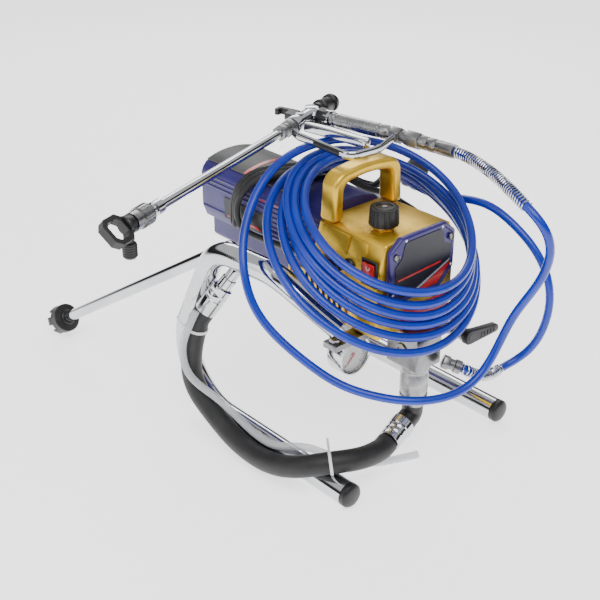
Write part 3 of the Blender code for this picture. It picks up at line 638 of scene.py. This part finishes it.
for x, z in ((-45, 219), (45, 228), (-28, 277), (28, 277), (0, 208)):
    joinShape(bm, turnShape([(0, 0), (1.5, 0), (1.5, 0.3), (0.8, 0.8), (0, 0.9)], at(x, 20.2, z), (0, -1, 0),
            14))
place("coverRivets", bm, "white")
for i, x in ((1, -42), (2, 42)):
    bm = turnShape([(0, 0), (4, 0), (4, 1.0), (3.3, 2.2), (2.4, 2.6), (2.1, 2.4), (2.1, 1.4), (0, 1.4)],
        at(x, 19.65, 262),
        (0, -1, 0), 24)
    place(f"coverScrew{i}", bm, "satin", replaced=(f"cover_screw_{i}",))
bm = plateShape([(-24, 27.95, 166), (53, 27.95, 166), (53, 27.95, 190), (-24, 27.95, 190)], (0, -0.4, 0),
    0.1, 1)
place("frontLabel", bm, "red")
print("front cover built")

# side vent
vent = {"bars": 9, "pitch": 8.2, "wide": 3.4, "lean": 9}
bm = blockShape((-61.5, 76, 167), (-58.4, 168, 213), 0.8)
side = min(bm.faces, key=lambda f: f.calc_center_median().x)
sinkFace(bm, side, 4, 0.4, 2.2)
place("ventFrame", bm, "gold", replaced=("vent_panel",))
place("ventDark", blockShape((-59.5, 80.6, 171.6), (-59.1, 163.4, 208.4), 0.1, 1), "black")
bm = bmesh.new()
for i in range(vent["bars"]):
    y = 82 + i * vent["pitch"]
    foot, head = (y, y + vent["wide"]), (y + vent["wide"] + vent["lean"], y + vent["lean"])
    bar = [(-61.3, foot[0], 171), (-61.3, foot[1], 171), (-61.3, head[0], 209), (-61.3, head[1], 209)]
    joinShape(bm, plateShape(bar, (1.9, 0, 0), 0.5, 2))
place("ventBars", bm, "gold")
print("vent built")

# motor cover with its top panel
motor = {"rear": 348, "length": 219, "ribs": 7, "ribPitch": 6.2, "slats": 13, "crown": 285.4}
outline = [(-46, 223), (-46, 266), (-43.4, 272), (-38, 278), (-20, 283.4), (0, 285.2), (20, 283.4),
    (38, 278), (43.4, 272),
    (46, 266), (46, 223), (40, 207), (30, 206), (30, 180), (25, 175), (-25, 175), (-30, 180), (-30, 206),
    (-40, 207)]
bm = plateShape([(x, motor["rear"], z) for x, z in outline], (0, -motor["length"], 0), 2.4, 4)
end = max(bm.faces, key=lambda f: f.calc_center_median().y * 1000 + f.calc_area())
sinkFace(bm, end, 5, 1.5, 2)
place("motorShell", bm, "indigo", replaced=("motor_cover",))
bm = bmesh.new()
for side in (-1, 1):
    for i in range(motor["ribs"]):
        z = 226 + i * motor["ribPitch"]
        low, high = sorted((side * 45.4, side * 47.3))
        reach = 222 if side < 0 and z < 247 else 340
        joinShape(bm, blockShape((low, 134, z), (high, reach, z + 3.0), 0.8, 2))
    low, high = sorted((side * 40.0, side * 46.9))
    joinShape(bm, blockShape((low, 131, 221), (high, 345, 224.4), 0.9, 2))
place("motorRibs", bm, "indigo")
bm = plateShape([(-46.4, 227, 219.5), (-46.4, 302, 219.5), (-46.4, 302, 246), (-46.4, 227, 246)],
    (-0.5, 0, 0), 0.2, 1)
place("motorLabel", bm, "decal")
place("motorLabelBar", plateShape([(-46.9, 232, 222.4), (-46.9, 296, 222.4), (-46.9, 296, 224.2),
            (-46.9, 240, 226.4)],
        (-0.25, 0, 0)), "red")
bm = bmesh.new()
for i in range(motor["slats"]):
    z = 196 + i * 6.0
    wide = 26 if z < 206 else 36
    joinShape(bm, blockShape((-wide, 345.2, z), (wide, 346.6, z + 2.6), 0.5, 2))
place("rearGrille", bm, "black")


def crownPlate(yLow, yHigh, half, lift, thick):
    # thin plate that follows the arch over the motor
    under = [(x,
            motor["crown"] - 6.6 * abs(x / 37.6) ** 2.1 + lift) for x in [half * k / 6 for k in range(-6,
                7)]]
    return plateShape([(x, yLow, z) for x, z in under] + [(x, yLow, z + thick) for x, z in reversed(under)],
        (0, yHigh - yLow, 0))


place("topPanel", crownPlate(200, 345, 37, 0.3, 1.7), "panel", replaced=("motor_top_panel",))
place("topPanelEdge", crownPlate(196, 200.4, 38, 0.0, 1.4), "black")
bm = bmesh.new()
for y, wide in ((214, 3.2), (232, 5.0), (252, 7.0)):
    joinShape(bm, crownPlate(y, y + wide, 36, 2.05, 0.22))
place("topSweeps", bm, "black")
place("topRedBand", crownPlate(270, 276, 37.0, 2.05, 0.3), "red")
bm = plateShape([(-46.3, 166, 262), (-46.3, 240, 262), (-46.3, 240, 264), (-46.3, 172, 264)], (-0.4, 0, 0))
place("sideRedLine", bm, "red")
print("motor built")

# pressure knob and rocker switch
knob = {"radius": 16.6, "flutes": 16, "low": 281.6, "high": 300.6}
bm = bmesh.new()
bmesh.ops.create_cone(bm, cap_ends=True, segments=knob["flutes"], radius1=knob["radius"] * mm,
    radius2=knob["radius"] * 0.93 * mm, depth=(knob["high"] - knob["low"]) * mm,
    matrix=Matrix.Translation(at(-20, 61, (knob["low"] + knob["high"]) / 2)))
bmesh.ops.inset_individual(bm, faces=wallsInOrder(bm, at(-20, 61, 0))[::2], thickness=0.5 * mm,
    depth=-1.5 * mm)
edges = [e for e in bm.edges if e.calc_face_angle(0) > math.radians(20)]
roundEdges(bm, edges, 0.5, 2)
joinShape(bm, turnShape([(0, 4.6), (12.6, 4.6), (14.8, 5.4), (14.8, 6.4), (0, 6.4)], at(-20, 61, 275.4),
        (0, 0, 1), 40))
joinShape(bm, turnShape([(8.6, 0), (11.6, 0), (11.0, 0.9), (9.2, 0.9)], at(-20, 61, 300.5), (0, 0, 1), 40))
place("knobBody", bm, "black", "knob", replaced=("pressure_knob",))
place("knobCollar", hexShape(21, 0, 4.4, at(-20, 61, 275.3), (0, 0, 1)), "brass")
place("knobCentre", turnShape([(0, 0), (3.6, 0), (3.4, 0.8), (2.4, 1.1), (0, 1.1)], at(-20, 61, 300.5),
        (0, 0, 1), 24),
    "satin", "knob")
bm = blockShape((-61.35, 30, 228), (-58.4, 52, 258), 0.7)
side = min(bm.faces, key=lambda f: f.calc_center_median().x)
sinkFace(bm, side, 1.6, 0.3, 2.35)
place("switchFrame", bm, "black", replaced=("switch_bezel",))
wall = -58.35
rocker = [(wall - 1.4, 240), (wall - 1.4, 246), (wall - 2.6, 254.4), (wall - 4.6, 254.4), (wall - 3.8, 243),
    (wall - 4.6, 231.6), (wall - 2.6, 231.6)]
place("rockerKey", plateShape([(x, 33, z) for x, z in rocker], (0, 16, 0), 0.4, 2), "red", "rocker",
    replaced=("power_switch",))
bm = turnShape([(2.2, 0), (2.8, 0), (2.8, 0.25), (2.2, 0.25)], at(wall - 4.2, 41, 249.4), (-1, 0, 0.07), 24)
joinShape(bm, blockShape((wall - 4.5, 40.7, 234.2), (wall - 4.1, 41.3, 239.0), 0.08, 1))
place("rockerMarks", bm, "white", "rocker")
print("controls built")

# pump
pump = {"half": 20, "axis": 24}
bm = blockShape((-pump["half"], 4, 120), (pump["half"], 50, 164.6), 2.0, 4)
joinShape(bm, turnShape([(0, -1), (9, -1), (9, 1.4), (8.2, 2.2), (4.6, 2.2), (4.2, 0.8), (0, 0.8)],
        at(-20, 27, 141),
        (-1, 0, 0), 32))
place("pumpBlock", bm, "satin", replaced=("pump_block",))
bm = turnShape([(0, 0), (15, 0), (16, 1.6), (16, 12), (14.9, 13), (14.9, 17), (16, 18), (16, 38), (14.6, 40),
        (14.6, 44),
        (16, 45.5), (16, 51.6), (0, 51.6)], at(0, pump["axis"], 68), (0, 0, 1), 48)
place("pumpBarrel", bm, "brushed", replaced=("pump_cylinder",))
inletWay = Vector((-46, -7, -15)).normalized()
bend = Vector((0, pump["axis"], 52))
line = toWorld(arcCorners([(0, 24, 67.6), tuple(bend), tuple(bend + inletWay * 16)], [9], 10))
bm = tubeShape(line, 12.2, 12)
joinShape(bm, turnShape([(0, 0), (12.6, 0), (12.6, 4), (0, 4)], at(0, 24, 63.6), (0, 0, 1), 40))
joinShape(bm, turnShape([(0, -4), (12.6, -4), (12.6, 0), (0, 0)], at(*(bend + inletWay * 16)), inletWay, 40))
place("inletElbow", bm, "black", replaced=("inlet_elbow",))
bm = turnShape([(0, 0), (13, 0), (14.2, 1.6), (14.2, 11), (13.3, 12.2), (13.3, 15), (12.9, 15.6),
        (12.9, 17.4), (13.3, 18),
        (13.3, 22), (12.9, 22.6), (12.9, 24.4), (13.3, 25), (13.3, 30.6), (12.7, 31), (0, 31)],
    at(*(bend + inletWay * 16.35)), inletWay, 48)
place("inletFerrule", bm, "chrome", replaced=("inlet_ferrule",))
bm = hexShape(14.4, 0.2, 8.4, at(*outletSpot), outletWay)
joinShape(bm, turnShape([(0, 8), (6.3, 8), (6.3, 13.6), (7.8, 14.6), (7.8, 21.6), (7.0, 22), (0, 22)],
        at(*outletSpot),
        outletWay, 32))
place("outletFitting", bm, "satin", replaced=("outlet_fitting",))
print("pump built")

# prime valve
prime = {"ridges": 5, "spacing": 5.5}
line = toWorld(arcCorners([(20.4, 31, 140), (60, 31, 140), (60, 3.2, 140)], [7], 8))
bm = tubeShape(line, 7.0, 10)
joinShape(bm, hexShape(15, 0, 7, at(21, 31, 140), (1, 0, 0)))
joinShape(bm, turnShape([(0, 0), (7.5, 0), (7.5, 5), (6.8, 5.6), (0, 5.6)], at(60, 9, 140), (0, -1, 0), 32))
place("primeBody", bm, "satin", replaced=("prime_valve_body",))
lozenge = [(51, 140), (52, 134.6), (55, 132.3), (60, 131.5), (104, 132), (107.4, 133.4), (108, 136),
    (107, 140),
    (104, 142), (66, 148), (60, 149.5), (55, 148.2), (52.4, 145.6)]
bm = plateShape([(x, 2.6, z) for x, z in lozenge], (0, -8.4, 0), 1.5, 4)
for i in range(prime["ridges"]):
    x = 76 + i * prime["spacing"]
    joinShape(bm, plateShape([(x, -5.6, 134.4), (x + 1.8, -5.6, 134.4), (x + 2.4, -5.6, 141.0),
                (x + 0.6, -5.6, 141.0)],
            (0, -0.7, 0), 0.2, 1))
joinShape(bm, turnShape([(0, 0), (5.2, 0), (5.0, 0.6), (0, 0.6)], at(60, -5.6, 140), (0, -1, 0), 28))
place("primeLever", bm, "black", "prime_lever", replaced=("prime_handle",))

# pressure gauge
gauge = {"centre": (-40, 119), "marks": 31, "sweep": 270}
gx, gz = gauge["centre"]
bm = turnShape([(0, 0), (20, 0), (23, 1.4), (24, 3.4), (24, 20.6), (23.2, 21.2), (23.2, 22.2), (24, 22.8),
        (23.6, 24.4),
        (22.6, 25), (21.2, 25), (20.6, 24.2), (20.6, 19), (0, 19)], at(gx, 102, gz), (0, -1, 0), 64)
place("gaugeCase", bm, "chrome", replaced=("gauge_case",))
place("gaugeDial", turnShape([(0, 0), (20.4, 0), (20.4, 0.25), (0, 0.25)], at(gx, 82.95, gz), (0, -1, 0),
        48), "dial")
bm = bmesh.new()
for i in range(gauge["marks"]):
    angle = math.radians(225 - i * gauge["sweep"] / (gauge["marks"] - 1))
    long = 4.2 if i % 5 == 0 else 2.4
    out, side = Vector((math.cos(angle), 0, math.sin(angle))), Vector((-math.sin(angle), 0, math.cos(angle)))
    base = Vector((gx, 82.68, gz))
    wide = 0.5 if i % 5 == 0 else 0.26
    corners = [base + out * r + side * w for r, w in ((19, -wide), (19, wide), (19 - long, wide),
            (19 - long, -wide))]
    joinShape(bm, plateShape([tuple(c) for c in corners], (0, -0.08, 0)))
joinShape(bm, turnShape([(19.7, 0), (20.5, 0), (20.5, 0.4), (19.7, 0.4)], at(gx, 79.9, gz), (0, -1, 0), 48))
place("gaugeMarks", bm, "black")
bm = plateShape([(gx - 2, 81.6, gz - 1), (gx - 12.5, 81.6, gz - 11.8), (gx - 11.8, 81.6, gz - 12.5),
        (gx + 1, 81.6, gz - 2),
        (gx + 3, 81.6, gz + 1), (gx + 1, 81.6, gz + 3)], (0, -0.6, 0), 0.1, 1)
joinShape(bm, turnShape([(0, 0), (2.6, 0), (2.2, 0.8), (0, 0.9)], at(gx, 82.0, gz), (0, -1, 0), 24))
place("gaugeHand", bm, "red", "needle", replaced=("gauge_needle",))
place("gaugeGlass", turnShape([(0, 0), (20.2, 0), (20.2, 0.9), (19.4, 1.2), (0, 1.2)], at(gx, 79, gz),
        (0, -1, 0), 48),
    "glass", replaced=("gauge_glass",))
bm = turnShape([(0, 0), (6, 0), (6, 6), (0, 6)], at(gx, 90, 143.5), (0, 0, 1), 28)
joinShape(bm, hexShape(16, 6, 15, at(gx, 90, 143.5), (0, 0, 1)))
joinShape(bm, turnShape([(0, 15), (6, 15), (6, 21), (0, 21)], at(gx, 90, 143.5), (0, 0, 1), 28))
place("gaugeStem", bm, "satin", replaced=("gauge_stem",))
print("gauge built")

# suction pipe and strainer
intake = {"pipe": 15.0, "teeth": 6, "tooth": (3.0, 11, 9.6)}
low, high = Vector((-138, 226, 153)), Vector((-118, 211, 187))
pipeWay = (high - low).normalized()
bm = turnShape([(0, 0), (12.6, 0), (12.8, 0.6), (12.8, 19), (12.0, 20), (12.0, 22), (12.4, 22.6), (12.4, 27),
        (12.0, 27.6),
        (12.0, 30), (12.4, 30.6), (12.4, 36.6), (9, 38), (9, 49.6), (8.4, 50), (0, 50)], at(*low), pipeWay,
    48)
place("pipeFerrule", bm, "chrome", replaced=("pipe_ferrule",))
start = low + pipeWay * 50.35
line = toWorld(arcCorners([tuple(start), tuple(start + pipeWay * 14), (-98, 214, 218), (-97, 228, 221),
            (-100, 240, 213.5),
            (-152, 522, 31)], [9, 9, 9, 14], 8))
place("suctionPipe", tubeShape(line, intake["pipe"] / 2, 12), "chrome", replaced=("suction_pipe",))
near = Vector((-152.2, 522.6, 30.6))
cupWay = Vector((-0.153, 0.829, -0.50)).normalized()
bm = turnShape([(0, 0), (9, 0), (10.4, 1), (10.8, 3), (18.6, 4.4), (19.4, 5.4), (19.4, 16), (16.6, 16),
        (16.6, 7), (0, 7)],
    at(*near), cupWay, 60)
side = cupWay.orthogonal().normalized()
for i in range(intake["teeth"]):
    # teeth round the open mouth
    out = (Matrix.Rotation(i * 2 * math.pi / intake["teeth"], 3, cupWay) @ side).normalized()
    turn = Matrix((out, cupWay.cross(out), cupWay)).transposed().to_4x4()
    spot = near + cupWay * 19 + out * 17.6
    joinShape(bm, boxShape(at(*spot), turn, intake["tooth"], 0.6))
place("strainerCup", bm, "black", replaced=("strainer",))
print("suction pipe built")

# spray gun
gun = {"height": 342.0, "pole": 10.5}
gz = gun["height"]
knee = Vector((46.1, 248.3, gz))
barrel = Vector((-0.936, -0.352, 0)).normalized()
grip = Vector((0.184, -0.983, 0)).normalized()


def on(distance):
    return knee + barrel * distance


line = toWorld(arcCorners([tuple(on(50)), tuple(knee), tuple(knee + grip * 30)], [9], 10))
bm = tubeShape(line, 9.2, 12)
joinShape(bm, turnShape([(0, 0), (10, 0), (10.5, 1), (10.5, 12), (9.4, 13.4), (0, 13.4)], at(*on(50)),
        -barrel, 40))
joinShape(bm, turnShape([(0, 0), (10.4, 0), (10.4, 7), (9, 8), (0, 8)], at(*(knee + grip * 30)), -grip, 40))
joinShape(bm, turnShape([(0, 0), (8.4, 0), (8.4, 1.4), (6.4, 2.2), (0, 2.6)], at(knee.x, knee.y, gz + 8.0),
        (0, 0, 1), 32))
joinShape(bm, hexShape(9, 0, 2.4, at(*(on(30) + Vector((0, 0, 8.0)))), (0, 0, 1)))
place("gunBody", bm, "chrome", replaced=("gun_body",))
bm = turnShape([(0, 0), (8.3, 0), (8.3, 5), (7.4, 6), (7.4, 9), (8.3, 10), (8.3, 66), (7.4, 67), (7.4, 70),
        (8.3, 71), (8.3, 78),
        (7, 80), (7, 83), (0, 83)], at(*(knee + grip * 30.35)), grip, 40)
place("gunGrip", bm, "brushed", replaced=("gun_grip",))
bm = turnShape([(0, 0), (9, 0), (9, 7.4), (11.3, 9), (11.3, 11), (10.6, 12), (9.3, 31.6), (11.3, 33),
        (11.3, 38), (10.4, 40),
        (0, 40)], at(*on(-14)), -barrel, 40)
place("packingNut", bm, "black", replaced=("packing_nut",))
place("headSleeve", turnShape([(9, 0), (10.6, 0.4), (11.2, 1.4), (11.2, 15), (10.4, 16.4), (9, 17)],
        at(*(knee + grip * 12)), grip, 8),
    "black")
place("packingCap", turnShape([(0, 39.8), (9.6, 39.8), (9.6, 42), (8, 43.6), (4, 44.4), (0, 44.6)],
        at(*on(-14)), -barrel, 36), "satin")
hook = [(19, 250.8), (38, 258), (37.4, 264), (36, 270), (33.6, 280), (31, 288), (25, 287), (20, 285),
    (22, 280), (27, 281),
    (29, 270), (17, 264)]
place("gunHook", plateShape([(x, y, gz - 3.9) for x, y in hook], (0, 0, 7.8), 0.9, 3), "black",
    replaced=("gun_hook",))
lever = [(7, 219.5), (22, 225), (25, 180), (26.8, 136), (26.6, 131), (25, 128.4), (20.4, 127.4), (17.4, 131),
    (15, 150),
    (12.4, 180)]
place("triggerBlade", plateShape([(x, y, gz - 5.6) for x, y in lever], (0, 0, 11.2), 2.4, 5), "chrome",
    "trigger",
    replaced=("gun_trigger",))
place("triggerPin", turnShape([(0, 0), (2.8, 0), (2.8, 1.2), (1.9, 1.8), (0, 1.8)], at(14, 219, gz + 4.8),
        (0, 0, 1), 24),
    "brushed", "trigger")
line = toWorld(arcCorners([(-14, 211, gz), (-18, 200, gz), (-22, 112, gz), (18, 109, gz), (55, 124, gz)],
        [12, 12, 30], 8))
bm = tubeShape(line, 2.5, 6)
bmesh.ops.scale(bm, vec=(1, 1, 2.0), space=Matrix.Translation((0, 0, -gz * mm)), verts=bm.verts)
place("guardStrap", bm, "chrome", replaced=("trigger_guard",))
place("guardPad", tubeShape(toWorld([(-19.4, 170, gz), (-20.4, 150, gz), (-21.4, 128, gz)]), 3.6, 6),
    "black")
bm = hexShape(18, 0.3, 12, at(*on(50)), barrel, 1.0)
joinShape(bm, turnShape([(0, 12), (8, 12), (8, 17.6), (0, 17.6)], at(*on(50)), barrel, 32))
joinShape(bm, hexShape(16, 18, 30, at(*on(50)), barrel, 1.0))
place("poleNuts", bm, "satin", replaced=("pole_nut",))
poleHalf = gun["pole"] / 2
bm = turnShape([(0, 0), (poleHalf, 0), (poleHalf, 255), (0, 255)], at(*on(80.7)), barrel, 40)
joinShape(bm, turnShape([(5.2, 236), (7.4, 236.6), (7.4, 247), (5.2, 248)], at(*on(80.7)), barrel, 32))
place("poleTube", bm, "chrome", replaced=("extension_pole",))
bm = bmesh.new()
bmesh.ops.create_cone(bm, cap_ends=True, segments=36, radius1=10.9 * mm, radius2=10.9 * mm, depth=14 * mm)
bmesh.ops.inset_individual(bm, faces=wallsInOrder(bm, Vector((0, 0, 0)))[::2], thickness=0.3 * mm,
    depth=-0.6 * mm)
standOn(bm, at(*on(345.4)), barrel)
joinShape(bm, turnShape([(0, 0), (9.3, 0), (9.8, 1.0), (9.8, 4), (0, 4)], at(*on(336.3)), barrel, 36))
joinShape(bm, turnShape([(0, 16), (9.5, 16), (9.5, 27.6), (0, 27.6)], at(*on(336.3)), barrel, 36))
place("tipCollar", bm, "brushed", replaced=("tip_collar",))

# tip guard: a round hub and a flat frame with one window, across the spray
bm = turnShape([(4.2, 0), (8.8, 0), (9.4, 1), (9.4, 8), (8.4, 9.4), (4.2, 9.4)], at(*on(365)), barrel, 40)
flat = barrel.cross(Vector((0, 0, 1))).normalized()
sideways = (flat * 0.746 + Vector((0, 0, 0.666))).normalized()
facing = barrel.cross(sideways).normalized()
rims = []
for rim in (((368, 7.6), (374, 9.6), (379, 14.6), (394.6, 14.6), (400.6, 9)),
        ((377, 5.4), (381, 9.8), (392.4, 9.8), (396, 6))):
    # upper half from the hub outward, then the lower half back
    both = list(rim) + [(d, -z) for d, z in reversed(rim)]
    spots = [on(d) + sideways * z - facing * 4.5 for d, z in both]
    verts = [bm.verts.new(at(*p)) for p in spots]
    rims += [bm.edges.new(pair) for pair in zip(verts, verts[1:] + verts[:1])]
filled = bmesh.ops.triangle_fill(bm, edges=rims, use_beauty=True)
flats = [f for f in filled["geom"] if isinstance(f, bmesh.types.BMFace)]
out = bmesh.ops.extrude_face_region(bm, geom=flats)
moved = [g for g in out["geom"] if isinstance(g, bmesh.types.BMVert)]
bmesh.ops.translate(bm, verts=moved, vec=facing * (9 * mm))
place("tipGuard", bm, "black", "guard", replaced=("tip_guard",))
spot = on(369)
bm = turnShape([(0, 0), (5.4, 0), (5.4, 4.6), (4.4, 5.6), (4.4, 7.0), (6.8, 8.4), (6.8, 21.6), (5.4, 23.4),
        (0, 24)],
    at(spot.x, spot.y, gz - 9.8), (0, 0, -1), 28)
for i in range(5):
    joinShape(bm, turnShape([(6.6, 0), (7.3, 0.4), (7.3, 1.2), (6.6, 1.6)],
            at(spot.x, spot.y, gz - 19.4 - i * 2.5),
            (0, 0, -1), 28))
place("tipLever", bm, "black", "tip", replaced=("spray_tip",))
gripEnd = knee + grip * 114.1
swivelWay = (Vector((74, 47, gz)) - gripEnd).normalized()
bm = hexShape(16.4, 0.2, 14, at(*gripEnd), swivelWay, 1.0)
joinShape(bm, turnShape([(0, 14), (7, 14), (7, 22), (0, 22)], at(*gripEnd), swivelWay, 32))
joinShape(bm, hexShape(17, 22, 41, at(*gripEnd), swivelWay, 1.0))
joinShape(bm, turnShape([(0, 41), (7.8, 41), (7.8, 50), (7.2, 51), (7.2, 53), (7.8, 54), (7.8, 62),
            (7.2, 63), (7.2, 65),
            (7.8, 66), (7.8, 87.6), (0, 87.6)], at(*gripEnd), swivelWay, 36))
place("hoseSwivel", bm, "satin", "swivel", replaced=("hose_swivel",))
print("gun built")

# inner parts keep their plain shapes
inner = {"pump_piston": "brushed", "motor_rotor": "brushed", "crank_gear": "satin", "motor_stator": "copper",
    "cooling_fan": "black", "control_board": "board"}
for node, finish in inner.items():
    obj = bpy.data.objects[node]
    obj.data.materials.clear()
    obj.data.materials.append(finishes[finish])

# floor, light and background
studio = {"floor": 0.9, "glow": 1.5, "key": 22.0, "fill": 8.0, "rim": 12.0}
bm = bmesh.new()
bmesh.ops.create_grid(bm, x_segments=8, y_segments=8, size=6.0, matrix=Matrix.Translation((0, 0, -0.0012)))
mesh = bpy.data.meshes.new("floor")
bm.to_mesh(mesh)
bm.free()
floor = bpy.data.objects.new("floor", mesh)
bpy.context.collection.objects.link(floor)
floorFinish, tree, shader = newFinish("paleFloor")
speck = addNoise(tree, 3.0, 2.0)
tone = addRamp(tree, speck.outputs["Fac"], (0.2, 0.8), ((studio["floor"],) * 3,
        (studio["floor"] + 0.02,) * 3))
tree.links.new(tone.outputs["Color"], shader.inputs["Base Color"])
shader.inputs["Roughness"].default_value = 0.75
shader.inputs["Emission Color"].default_value = (1, 1, 1, 1)
shader.inputs["Emission Strength"].default_value = studio["glow"]
shader.inputs["Specular IOR Level"].default_value = 0.25
mesh.materials.append(floorFinish)


def addLamp(name, spot, aim, size, power):
    lamp = bpy.data.lights.new(name, "AREA")
    lamp.shape = "RECTANGLE"
    lamp.size, lamp.size_y = size
    lamp.energy = power
    obj = bpy.data.objects.new(name, lamp)
    bpy.context.collection.objects.link(obj)
    obj.location = Vector(spot)
    obj.rotation_euler = (Vector(aim) - obj.location).to_track_quat("-Z", "Y").to_euler()


middle = (0, 0, 0.15)
addLamp("keyLamp", (-0.5, -0.9, 1.7), middle, (1.5, 1.0), studio["key"])
addLamp("fillLamp", (-1.7, 0.3, 0.9), middle, (0.9, 1.4), studio["fill"])
addLamp("rimLamp", (1.2, 1.3, 1.3), middle, (1.2, 0.8), studio["rim"])
world = bpy.data.worlds.new("studio")
world.use_nodes = True
bpy.context.scene.world = world
tree = world.node_tree
coord = tree.nodes.new("ShaderNodeTexCoord")
split = tree.nodes.new("ShaderNodeSeparateXYZ")
ramp = tree.nodes.new("ShaderNodeValToRGB")
ramp.color_ramp.elements[0].position = 0.0
ramp.color_ramp.elements[0].color = (0.9, 0.9, 0.9, 1)
ramp.color_ramp.elements[1].position = 1.0
ramp.color_ramp.elements[1].color = (1.0, 1.0, 1.0, 1)
for spot, grey in ((0.03, 0.9), (0.07, 0.03), (0.34, 0.06), (0.46, 1.0)):
    ramp.color_ramp.elements.new(spot).color = (grey, grey, grey * 1.02, 1)
tree.links.new(coord.outputs["Generated"], split.inputs["Vector"])
tree.links.new(split.outputs["Z"], ramp.inputs["Fac"])
tree.links.new(ramp.outputs["Color"], tree.nodes["Background"].inputs["Color"])
tree.nodes["Background"].inputs["Strength"].default_value = 0.75
